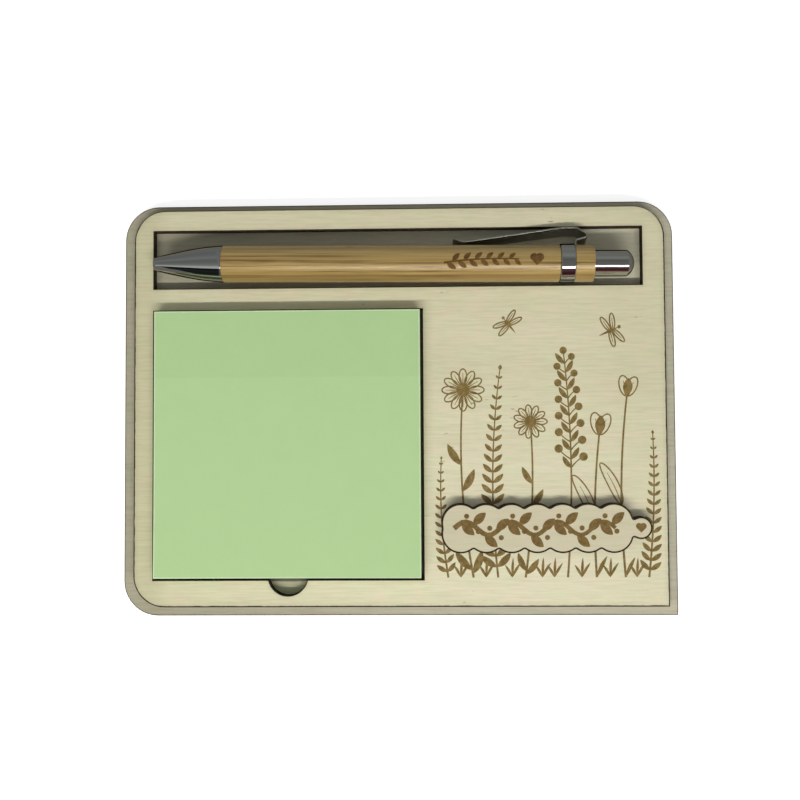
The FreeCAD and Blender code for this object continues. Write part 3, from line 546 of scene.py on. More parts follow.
@dataclass(frozen=True)
class Plywood(Finish):
    """Poplar plywood: pale faces with fine grain, and cut edges burnt by the laser.

    The faces are dimmed slowly along X and Y, by ramps between pairs of places: painted shade, darker where
    the lamp lights them less.
    """

    name: str
    pale: Colour
    deep: Colour
    floor_mm: float
    shift: Triple
    # Painted shade: how far each ramp dims the faces (the back one too), and the places in millimetres
    # between which it runs.
    painted_shade_drift: float = 0.0
    painted_shade_drift_mm: Point = (-80.0, 40.0)
    painted_shade_left_bar: float = 0.0
    painted_shade_left_bar_mm: Point = (-73.0, -58.0)
    painted_shade_right_bar: float = 0.0
    painted_shade_right_bar_mm: Point = (50.0, 72.0)
    back: float = 0.0
    painted_shade_back_mm: Point = (-52.0, 25.0)
    flecks: float = 0.5
    bands: float = 0.2
    fibres: float = 0.35
    fleck: Colour = tone(112, 96, 66)
    char: Colour = tone(27, 17, 10)
    ply: Colour = tone(50, 37, 24)
    smoke: Colour = tone(150, 134, 100)
    smoke_share: float = 0.16
    rosy: Colour = (1.0, 0.96, 0.96)
    greenish: Colour = (0.955, 0.985, 0.935)
    ply_mm: float = 1.0

    def dimmed(self) -> Colour:
        """Give the factor of the painted shade, which takes the usual colour of the grain down to its deep
        colour.
        """
        share = (self.bands + self.fibres) / 2
        return tuple(deep / (pale + (deep - pale) * share) for pale, deep in zip(self.pale, self.deep))

    def shade(self, sheet: NodeSheet, x: Socket, y: Socket) -> Socket:
        """Paint shade on the faces: the strongest of three ramps, and the right bar's ramp on top of it.

        Args:
            sheet: Where the nodes go.
            x: The place along X.
            y: The place along Y.

        Returns:
            How far a face is dimmed by painted shade, from 0 to 1.
        """
        ramps = (
            (x, self.painted_shade_drift_mm, self.painted_shade_drift, 0.0),
            (x, self.painted_shade_left_bar_mm, self.painted_shade_left_bar, 0.0),
            (y, self.painted_shade_back_mm, 0.0, self.back),
            (x, self.painted_shade_right_bar_mm, 0.0, self.painted_shade_right_bar),
        )
        painted_shade_drift, left, back, right = (
            sheet.step(axis, low * MM, high * MM, start, end) for axis, (low, high), start, end in ramps
        )
        strongest = sheet.math("MAXIMUM", sheet.math("MAXIMUM", painted_shade_drift, left), back)
        return sheet.math("ADD", strongest, right)

    def cut_edge(self, sheet: NodeSheet, coordinates: Socket, height: Socket) -> Socket:
        """Colour a burnt edge, which is darkest in its core ply and in upright streaks.

        Args:
            sheet: Where the nodes go.
            coordinates: The object coordinates.
            height: The height above the sheet's underside.

        Returns:
            The edge's colour.
        """
        from_core = sheet.math("ABSOLUTE", sheet.math("SUBTRACT", height, 1.5 * self.ply_mm * MM))
        core = sheet.step(from_core, 0.47 * self.ply_mm * MM, 0.53 * self.ply_mm * MM, 1, 0)
        streaks = sheet.noise(sheet.stretched(coordinates, (1, 1, 0.12)), 1800, 2, 0.6)
        share = sheet.math("ADD", sheet.math("MULTIPLY", core, 0.5), sheet.step(streaks, 0.35, 0.7))
        return sheet.mix(share, opaque(self.ply), opaque(self.char))

    def make(self, cuts: tuple[Cut, ...] = ()) -> Material:
        """Make the material.

        Args:
            cuts: The cuts that leave a burnt line on the faces, and lines of painted shade laid the same
                way.

        Returns:
            The plywood's material.
        """
        material, sheet, shader, coordinates = self.sheet()
        normal = sheet.tree.nodes["Texture Coordinate"].outputs["Normal"]
        x, y, z = sheet.add("SeparateXYZ", {0: coordinates}).outputs
        moved = sheet.stretched(coordinates, (1, 1, 1), 0, self.shift)
        inputs = {"Vector": moved, "Pale": opaque(self.pale), "Deep": opaque(self.deep)}
        inputs |= {"Fleck": opaque(self.fleck), "Flecks": self.flecks}
        inputs |= {"Bands": self.bands, "Fibres": self.fibres}
        grain = sheet.add("Group", inputs, node_tree=Effect.wood_grain())
        # Painted shade: the ramps darken the faces towards their deep colour.
        shade = self.shade(sheet, x, y)
        face = sheet.mix(shade, grain.outputs["Color"], opaque(self.dimmed()), "MULTIPLY")
        blotches = sheet.noise(sheet.stretched(moved, (0.6, 1, 1)), 260, 3, 0.6)
        tints = sheet.mix(sheet.step(blotches, 0.3, 0.7), opaque(self.rosy), opaque(self.greenish))
        face = sheet.mix(1.0, face, tints, "MULTIPLY")
        flatness = sheet.math("ABSOLUTE", sheet.add("SeparateXYZ", {0: normal}).outputs[2])
        burnt = sheet.step(flatness, 0.78, 0.97, 1, 0)
        rim = sheet.add("Attribute", attribute_name="char").outputs["Fac"]
        burnt = sheet.math("MAXIMUM", burnt, rim)
        height = sheet.math("SUBTRACT", z, self.floor_mm * MM)
        upper = sheet.step(height, 1.5 * self.ply_mm * MM, 2 * self.ply_mm * MM)
        for cut in cuts:
            line = sheet.add("Group", cut.inputs(coordinates), node_tree=Effect.cut_line())
            charred = sheet.math("MULTIPLY", line.outputs["Burn And Painted Light"], sheet.math("MULTIPLY", upper, cut.burn))
            burnt = sheet.math("MAXIMUM", burnt, charred)
            thin = sheet.math("MULTIPLY", upper, self.smoke_share)
            smoked = sheet.math("MULTIPLY", line.outputs["Smoke"], thin)
            face = sheet.mix(smoked, face, opaque(self.smoke))
        edge = self.cut_edge(sheet, coordinates, height)
        sheet.tree.links.new(sheet.mix(burnt, face, edge), shader.inputs["Base Color"])
        sheet.tree.links.new(sheet.step(burnt, 0, 1, 0.62, 0.88), shader.inputs["Roughness"])
        shader.inputs["Specular IOR Level"].default_value = 0.3
        self.roughen(sheet, shader, grain.outputs["Height"], 0.02)
        return material


@dataclass(frozen=True)
class Scorched(Finish):
    """Wood engraved by the laser to a warm brown."""

    name: str
    light: Colour
    dark: Colour
    pass_mm: float = 0.14

    def make(self) -> Material:
        """Make the material.

        Returns:
            The engraving's material.
        """
        material, sheet, shader, coordinates = self.sheet()
        wave_period = math.tau / 20
        inputs = {"Vector": coordinates, "Light": opaque(self.light), "Dark": opaque(self.dark)}
        inputs |= {"Line Scale": wave_period / (self.pass_mm * MM)}
        burn = sheet.add("Group", inputs, node_tree=Effect.scorch())
        sheet.tree.links.new(burn.outputs["Color"], shader.inputs["Base Color"])
        shader.inputs["Roughness"].default_value = 0.85
        shader.inputs["Specular IOR Level"].default_value = 0.25
        return material


@dataclass(frozen=True)
class Bamboo(Finish):
    """Turned and varnished bamboo, streaked along the pen."""

    name: str
    pale: Colour
    deep: Colour
    vein: Colour
    lamina: Colour
    turn: float
    glue_line_mm: float

    def make(self) -> Material:
        """Make the material.

        Returns:
            The bamboo's material.
        """
        material, sheet, shader, coordinates = self.sheet()
        straight = sheet.stretched(coordinates, (1, 1, 1), self.turn)
        lain = sheet.stretched(straight, (0.35, 1.6, 1.6))
        inputs = {"Vector": lain, "Pale": opaque(self.pale), "Deep": opaque(self.deep)}
        inputs |= {"Fleck": opaque(self.vein), "Bands": 0.5, "Fibres": 0.5, "Flecks": 0.5}
        grain = sheet.add("Group", inputs, node_tree=Effect.wood_grain())
        across = sheet.add("SeparateXYZ", {0: straight}).outputs[1]
        past_line = sheet.math("SUBTRACT", across, self.glue_line_mm * MM)
        lamina_share = sheet.step(past_line, -0.2 * MM, 0, 0.55, 0)
        plain = sheet.mix(lamina_share, grain.outputs["Color"], opaque(self.lamina))
        veins = sheet.noise(sheet.stretched(straight, (0.016, 1, 1)), 950, 3, 0.6)
        patches = sheet.noise(sheet.stretched(straight, (0.3, 1, 1)), 130, 2, 0.5)
        patch_share = sheet.step(patches, 0.36, 0.6, 0.35, 1)
        vein_share = sheet.math("MULTIPLY", sheet.step(veins, 0.52, 0.66, 0, 0.85), patch_share)
        glue_share = sheet.step(sheet.math("ABSOLUTE", past_line), 0.05 * MM, 0.16 * MM, 0.7, 0)
        line_share = sheet.math("MAXIMUM", vein_share, glue_share)
        colour = sheet.mix(line_share, plain, opaque(self.vein))
        sheet.tree.links.new(colour, shader.inputs["Base Color"])
        inputs = {"Vector": coordinates, "Clean": 0.3, "Smeared": 0.44}
        worn = sheet.add("Group", inputs, node_tree=Effect.handling())
        sheet.tree.links.new(worn.outputs["Roughness"], shader.inputs["Roughness"])
        shader.inputs["Coat Weight"].default_value = 0.35
        shader.inputs["Coat Roughness"].default_value = 0.22
        self.roughen(sheet, shader, grain.outputs["Height"], 0.02)
        return material


@dataclass(frozen=True)
class Paper(Finish):
    """Note paper or card, with a fine felt and, on a cut stack, the lines of its sheets."""

    name: str
    colour: Colour
    edge: Colour
    sheet_mm: float
    contrast: float = 0.12
    glue_line_mm: float = 100.0
    # Painted highlight: the pale colour along the sheet's cut edge.
    rim: Colour = tone(222, 242, 206)

    def make(self, outline: Cut | None = None) -> Material:
        """Make the material, a little darker behind the line where the glue under the sheet begins.

        Args:
            outline: The sheet's cut edge, which a painted highlight makes pale.

        Returns:
            The paper's material.
        """
        material, sheet, shader, coordinates = self.sheet()
        inputs = {"Vector": coordinates, "Contrast": self.contrast}
        felt = sheet.add("Group", inputs, node_tree=Effect.fibre())
        normal = sheet.tree.nodes["Texture Coordinate"].outputs["Normal"]
        flatness = sheet.math("ABSOLUTE", sheet.add("SeparateXYZ", {0: normal}).outputs[2])
        _, depth, height = sheet.add("SeparateXYZ", {0: coordinates}).outputs
        layer = sheet.math("FRACT", sheet.math("DIVIDE", height, self.sheet_mm * MM))
        side = sheet.math("MULTIPLY", sheet.step(flatness, 0.3, 0.7, 1, 0), sheet.step(layer, 0.2, 0.7))
        plain = sheet.mix(side, opaque(self.colour), opaque(self.edge))
        # Painted highlight along the cut edge.
        if outline:
            line = sheet.add("Group", outline.inputs(coordinates), node_tree=Effect.cut_line())
            on_face = sheet.step(flatness, 0.3, 0.7, 0, outline.burn)
            pale = sheet.math("MULTIPLY", line.outputs["Burn And Painted Light"], on_face)
            plain = sheet.mix(pale, plain, opaque(self.rim))
        glued = sheet.step(depth, (self.glue_line_mm - 0.4) * MM, (self.glue_line_mm + 0.4) * MM, 1, 0.965)
        shade = sheet.math("MULTIPLY", felt.outputs["Tint"], glued)
        tint = sheet.add("CombineXYZ", dict.fromkeys(range(3), shade)).outputs[0]
        colour = sheet.mix(1.0, plain, tint, "MULTIPLY")
        sheet.tree.links.new(colour, shader.inputs["Base Color"])
        shader.inputs["Roughness"].default_value = 0.82
        shader.inputs["Specular IOR Level"].default_value = 0.3
        self.roughen(sheet, shader, felt.outputs["Height"], 0.006)
        return material


@dataclass(frozen=True)
class Metal(Finish):
    """Plated or bare metal with faint marks of handling, and black painted into its slits as painted shade.
    """

    name: str
    colour: Colour
    clean: float
    smeared: float
    scratch_mm: float = 0.0004
    rim_tint: float = 1.0

    def make(self) -> Material:
        """Make the material, whose mirror image darkens towards its outline by the rim tint.

        Returns:
            The metal's material.
        """
        material, sheet, shader, coordinates = self.sheet()
        inputs = {"Vector": coordinates, "Clean": self.clean, "Smeared": self.smeared}
        worn = sheet.add("Group", inputs, node_tree=Effect.handling())
        # Painted shade: black where a piece marks its slit.
        slit_painted_shade = sheet.add("Attribute", attribute_name="slit_painted_shade").outputs["Fac"]
        colour = sheet.mix(slit_painted_shade, opaque(self.colour), (0, 0, 0, 1))
        sheet.tree.links.new(colour, shader.inputs["Base Color"])
        shader.inputs["Metallic"].default_value = 1.0
        shader.inputs["Specular Tint"].default_value = opaque((self.rim_tint,) * 3)
        sheet.tree.links.new(worn.outputs["Roughness"], shader.inputs["Roughness"])
        self.roughen(sheet, shader, worn.outputs["Height"], self.scratch_mm)
        return material


@dataclass(frozen=True)
class Plastic(Finish):
    """Moulded plastic or ink inside the pen."""

    name: str
    colour: Colour
    clean: float
    smeared: float

    def make(self) -> Material:
        """Make the material.

        Returns:
            The plastic's material.
        """
        material, sheet, shader, coordinates = self.sheet()
        inputs = {"Vector": coordinates, "Clean": self.clean, "Smeared": self.smeared}
        worn = sheet.add("Group", inputs, node_tree=Effect.handling())
        sheet.tree.links.new(worn.outputs["Roughness"], shader.inputs["Roughness"])
        clouds = sheet.noise(coordinates, 500, 2, 0.5)
        darker = tuple(0.85 * c for c in self.colour)
        colour = sheet.mix(clouds, opaque(self.colour), opaque(darker))
        sheet.tree.links.new(colour, shader.inputs["Base Color"])
        self.roughen(sheet, shader, worn.outputs["Height"], 0.002)
        return material


FRAME_PLY = Plywood(
    "frame_plywood",
    pale=tone(235, 229, 201),
    deep=tone(203, 199, 165),
    floor_mm=3.0,
    shift=(0, 0, 0),
    # Painted shade: darker towards the left, the back and the right edge.
    painted_shade_drift=0.55,
    painted_shade_left_bar=1.0,
    painted_shade_right_bar=0.2,
    back=0.46,
)
BASE_PLY = Plywood(
    "base_plywood",
    pale=tone(205, 201, 178),
    deep=tone(166, 162, 139),
    floor_mm=0.0,
    shift=(0.31, 0.17, 0.05),
    # Painted shade: darker towards the left.
    painted_shade_drift=0.8,
    flecks=0.2,
)
PLAQUE_PLY = Plywood(
    "plaque_plywood",
    pale=tone(212, 205, 178),
    deep=tone(196, 187, 156),
    floor_mm=6.0,
    shift=(0.13, 0.42, 0.2),
    flecks=0.0,
)
ENGRAVED = Scorched("engraved_brown", tone(150, 128, 78), tone(112, 92, 49))
ORNAMENT = Scorched("ornament_brown", tone(134, 110, 64), tone(106, 84, 45))
BURNT_BAMBOO = Scorched("bamboo_brown", tone(116, 86, 44), tone(88, 62, 29))
PEN_BAMBOO = Bamboo(
    "pen_bamboo",
    pale=tone(186, 160, 101),
    deep=tone(146, 119, 63),
    vein=tone(104, 77, 38),
    lamina=tone(116, 87, 34),
    turn=0.49,
    glue_line_mm=37.4,
)
NOTE_GREEN = Paper("note_green", tone(181, 213, 154), tone(160, 190, 134), sheet_mm=0.2, glue_line_mm=8.9)
CARD = Paper("backing_card", tone(222, 219, 208), tone(196, 192, 180), sheet_mm=0.2, contrast=0.2)
CHROME = Metal("dark_chrome", (0.44, 0.44, 0.44), 0.03, 0.06, rim_tint=0.0)
CLIP_STEEL = Metal("clip_steel", (0.34, 0.34, 0.3), 0.3, 0.42)
BRASS = Metal("turned_brass", tone(205, 168, 92), 0.2, 0.34)
SPRING_STEEL = Metal("spring_steel", (0.5, 0.5, 0.52), 0.24, 0.36)
BALL_STEEL = Metal("ball_steel", (0.55, 0.55, 0.57), 0.08, 0.16)
INNER_WHITE = Plastic("inner_plastic", tone(232, 231, 225), 0.42, 0.6)
ROTOR_DARK = Plastic("rotor_plastic", tone(58, 58, 62), 0.4, 0.56)
TUBE_CLEAR = Plastic("tube_plastic", tone(226, 229, 232), 0.2, 0.32)
INK_BLUE = Plastic("ink_blue", tone(18, 22, 84), 0.16, 0.26)


class LeafStyle(Enum):
    """How a leaf or petal is drawn."""

    FILLED = "filled"
    OUTLINED = "outlined"
    VEINED = "veined"


@dataclass
class Drawing:
    """Burnt strokes, each a spine of points with a width at each of them."""

    line: float = 0.42
    samples: int = 26
    depth: float = 0.06
    proud: float = 0.012
    rise: float = 0.00012
    spines: list[Array] = field(default_factory=list)
    widths: list[Array] = field(default_factory=list)

    def share(self) -> Array:
        """Give the even shares from the start to the end of a stroke."""
        return np.linspace(0, 1, self.samples)

    def stroke(self, spine: Array, width: Array | float) -> None:
        """Add a stroke from its spine and its width."""
        self.spines.append(spine)
        self.widths.append(np.broadcast_to(np.maximum(width, 0.02), self.samples))

    def stem(self, start: Point, end: Point, bow: float, thick: float, thin: float) -> Array:
        """Draw a stem: a quadratic curve between two points that bows to the left, thinning upwards.

        Args:
            start: The stem's foot.
            end: Its top.
            bow: How far it bows.
            thick: Its width at the foot.
            thin: Its width at the top.

        Returns:
            The points along the stem.
        """
        a, b = np.array(start, float), np.array(end, float)
        left = np.array([a[1] - b[1], b[0] - a[0]]) / np.linalg.norm(b - a)
        middle = (a + b) / 2 + 2 * bow * left
        t = self.share()[:, None]
        spine = (1 - t) ** 2 * a + 2 * t * (1 - t) * middle + t**2 * b
        self.stroke(spine, thick + (thin - thick) * self.share())
        return spine

    def leaf(
        self, base: Array, angle: float, length: float, breadth: float, style: LeafStyle, bend: float = 0.0
    ) -> None:
        """Draw a leaf or petal.

        A filled one is a spine, bent as a parabola, whose width swells as a sine. An outlined one is
        the line round that shape, and a veined one has a line along its middle too.

        Args:
            base: Where it grows from.
            angle: Its direction in radians.
            length: Its length.
            breadth: Its widest part.
            style: How it is drawn.
            bend: How far its tip bends to the left, as a share of its length.
        """
        t = self.share()
        way = np.array([math.cos(angle), math.sin(angle)])
        side = np.array([-way[1], way[0]])

        def spine(s: Array) -> Array:
            """Give the points of the bent middle line at shares of its length."""
            return base + length * (np.outer(s, way) + np.outer(bend * s**2, side))

        if style is LeafStyle.FILLED:
            self.stroke(spine(t), breadth * np.sin(math.pi * t) ** 0.8)
            return
        beside = breadth / 2 * np.sin(math.tau * t)
        self.stroke(spine((1 - np.cos(math.tau * t)) / 2) + np.outer(beside, side), self.line * 0.8)
        if style is LeafStyle.VEINED:
            self.stroke(spine(0.75 * t), self.line * 0.75 * (1 - 0.7 * t))

    def disc(self, centre: Array, radius: float) -> None:
        """Fill a circle, as a level spine whose width is the circle's own.

        Args:
            centre: The circle's middle.
            radius: Its radius.
        """
        x = -np.cos(math.pi * self.share())
        spine = centre + radius * np.stack([x, 0 * x], axis=1)
        self.stroke(spine, 2 * radius * np.sqrt(1 - x**2))

    def heart(self, centre: Point, side: float) -> None:
        """Fill a heart: a square on its corner, with half a disc on each of its two upper sides.

        Each half is a bar that starts at the square's opposite lower side, as wide as the square,
        and ends in the half disc.

        Args:
            centre: The square's middle.
            side: The square's side.
        """
        t = self.share()
        beyond = np.maximum(3 * t - 2, 0)
        for angle in (math.pi / 4, 3 * math.pi / 4):
            way = np.array([math.cos(angle), math.sin(angle)])
            spine = np.array(centre) + np.outer(side * (1.5 * t - 0.5), way)
            self.stroke(spine, side * np.sqrt(1 - beyond**2))

    def along(self, curve: Array, t: float) -> tuple[Array, float]:
        """Find a place on a curve.

        Args:
            curve: The curve's points.
            t: The share of its length.

        Returns:
            The place, and the curve's direction there in radians.
        """
        at = t * (self.samples - 1)
        i = min(int(at), self.samples - 2)
        way = curve[i + 1] - curve[i]
        return curve[i] + (at - i) * way, math.atan2(way[1], way[0])

    def fern(self, foot: Point, top: Point, bow: float, pairs: int, leaflet: float) -> None:
        """Draw a fern: a stem with pairs of filled leaflets that shrink towards its top.

        Args:
            foot: The stem's foot.
            top: Its top.
            bow: How far it bows to the left.
            pairs: How many pairs of leaflets it has.
            leaflet: The length of the lowest leaflets.
        """
        curve = self.stem(foot, top, bow, self.line * 1.2, self.line * 0.6)
        for t in np.linspace(0.05, 0.96, pairs):
            place, way = self.along(curve, t)
            length = leaflet * (1.08 - t) ** 0.7
            for side in (-1, 1):
                breadth = 0.32 * length + 0.2
                self.leaf(place, way + side * 1.05, length, breadth, LeafStyle.FILLED, -0.2 * side)
        place, way = self.along(curve, 1.0)
        self.leaf(place, way, 0.3 * leaflet, 0.2 * leaflet, LeafStyle.FILLED)

    def daisy(self, foot: Point, head: Point, bow: float, petals: int, petal: float) -> None:
        """Draw a daisy: a stem with leaves, and veined petals round a filled disc.

        Args:
            foot: The stem's foot.
            head: The flower's middle.
            bow: How far the stem bows to the left.
            petals: How many petals it has.
            petal: Their length.
        """
        curve = self.stem(foot, head, bow, self.line * 1.3, self.line * 0.9)
        for t, side in ((0.02, -1), (0.04, 1), (0.46, -1), (0.6, 1)):
            place, way = self.along(curve, t)
            self.leaf(place, way + side * 0.75, 1.6 * petal, 0.5 * petal, LeafStyle.FILLED, -0.2 * side)
        centre = curve[-1]
        core = 0.42 * petal
        for angle in np.arange(petals) * math.tau / petals:
            base = centre + 0.9 * core * np.array([math.cos(angle), math.sin(angle)])
            self.leaf(base, angle, petal, 0.5 * petal, LeafStyle.VEINED)
        self.disc(centre, core)

    def tulip(self, foot: Point, head: Point, bow: float, cup: float, side: int) -> None:
        """Draw a tulip: a stem with a long leaf on one side, and a cup of petals.

        Args:
            foot: The stem's foot.
            head: The foot of the cup.
            bow: How far the stem bows to the left.
            cup: The cup's height.
            side: The long leaf's side, 1 for left and -1 for right.
        """
        curve = self.stem(foot, head, bow, self.line * 1.3, self.line)
        place, way = self.along(curve, 0.4)
        self.leaf(place, way + side * 0.3, 2.4 * cup, 0.55 * cup, LeafStyle.VEINED, 0.16 * side)
        self.leaf(curve[0], way - side * 0.35, 1.15 * cup, 0.2 * cup, LeafStyle.FILLED, -0.1 * side)
        place, way = self.along(curve, 1.0)
        for lean in (-0.34, 0.34):
            self.leaf(place, way + lean, 1.1 * cup, 0.55 * cup, LeafStyle.VEINED)
        self.leaf(place, way, 0.95 * cup, 0.5 * cup, LeafStyle.FILLED)

    def berry_sprig(self, foot: Point, top: Point, bow: float, stalks: int, berry: float) -> None:
        """Draw a sprig with berries on short stalks, by turns to its left and right.

        Args:
            foot: The stem's foot.
            top: Its top.
            bow: How far it bows to the left.
            stalks: How many stalks it has.
            berry: The radius of a berry.
        """
        curve = self.stem(foot, top, bow, self.line * 1.2, self.line * 0.7)
        for n, t in enumerate(np.linspace(0.48, 0.94, stalks)):
            place, way = self.along(curve, t)
            side = 1 if n % 2 else -1
            angle = way + side * 0.85
            reach = berry * (5.2 - 3.2 * t)
            end = place + reach * np.array([math.cos(angle), math.sin(angle)])
            self.stem(place, end, 0.06 * reach, self.line * 0.8, self.line * 0.6)
            self.disc(end, berry * (1.1 - 0.35 * t))
            self.leaf(place, way - side * 0.8, 3.1 * berry, 1.1 * berry, LeafStyle.FILLED, 0.2 * side)
        self.disc(curve[-1], 0.8 * berry)

    def dragonfly(self, centre: Point, angle: float, span: float) -> None:
        """Draw a dragonfly: a slim body and four veined wings.

        Args:
            centre: The body's middle.
            angle: The way that it flies, in radians.
            span: The size of its wings from tip to tip.
        """
        way = np.array([math.cos(angle), math.sin(angle)])
        middle = np.array(centre)
        self.leaf(middle - 0.3 * span * way, angle, 0.68 * span, 0.07 * span, LeafStyle.FILLED)
        self.disc(middle + 0.38 * span * way, 0.055 * span)
        for shift, lean in ((0.18, 1.25), (0.08, 1.75)):
            root = middle + shift * span * way
            for side in (-1, 1):
                self.leaf(root, angle + side * lean, 0.5 * span, 0.15 * span, LeafStyle.VEINED)

    def solid(self, surface: Surface, across: int = 2) -> tuple[Array, Faces]:
        """Turn the strokes into thin closed bars set into a surface.

        A point of a bar is the spine's point moved sideways by a share of the width. Each bar
        stands a little higher than the one before it, so that crossing strokes don't coincide.

        Args:
            surface: Gives the place of a drawing's x, y and height above the surface.
            across: Points across a bar's top.

        Returns:
            The points, and the point numbers of each face.
        """
        spine = np.array(self.spines)
        width = np.array(self.widths)
        way = unit(np.gradient(spine, axis=1))
        side = np.stack([-way[..., 1], way[..., 0]], axis=-1)
        shares = np.concatenate([np.linspace(-0.5, 0.5, across), [0.5, -0.5]])
        flat = spine[:, :, None] + side[:, :, None] * width[:, :, None, None] * shares[None, None, :, None]
        level = self.proud + self.rise * np.arange(len(spine))[:, None, None]
        on_top = np.arange(across + 2) < across
        height = np.where(on_top, level, -self.depth) + 0 * flat[..., 0]
        points = surface(flat[..., 0], flat[..., 1], height)
        count, ring = self.samples, across + 2
        starts = np.arange(len(spine))[:, None, None] * count * ring
        quads = (grid_faces(count, ring, close_columns=True)[None] + starts).reshape(-1, 4)
        ends = np.array([np.arange(ring), (count - 1) * ring + np.arange(ring)[::-1]])
        caps = (ends[None] + starts).reshape(-1, ring)
        return points.reshape(-1, 3), quads.tolist() + caps.tolist()


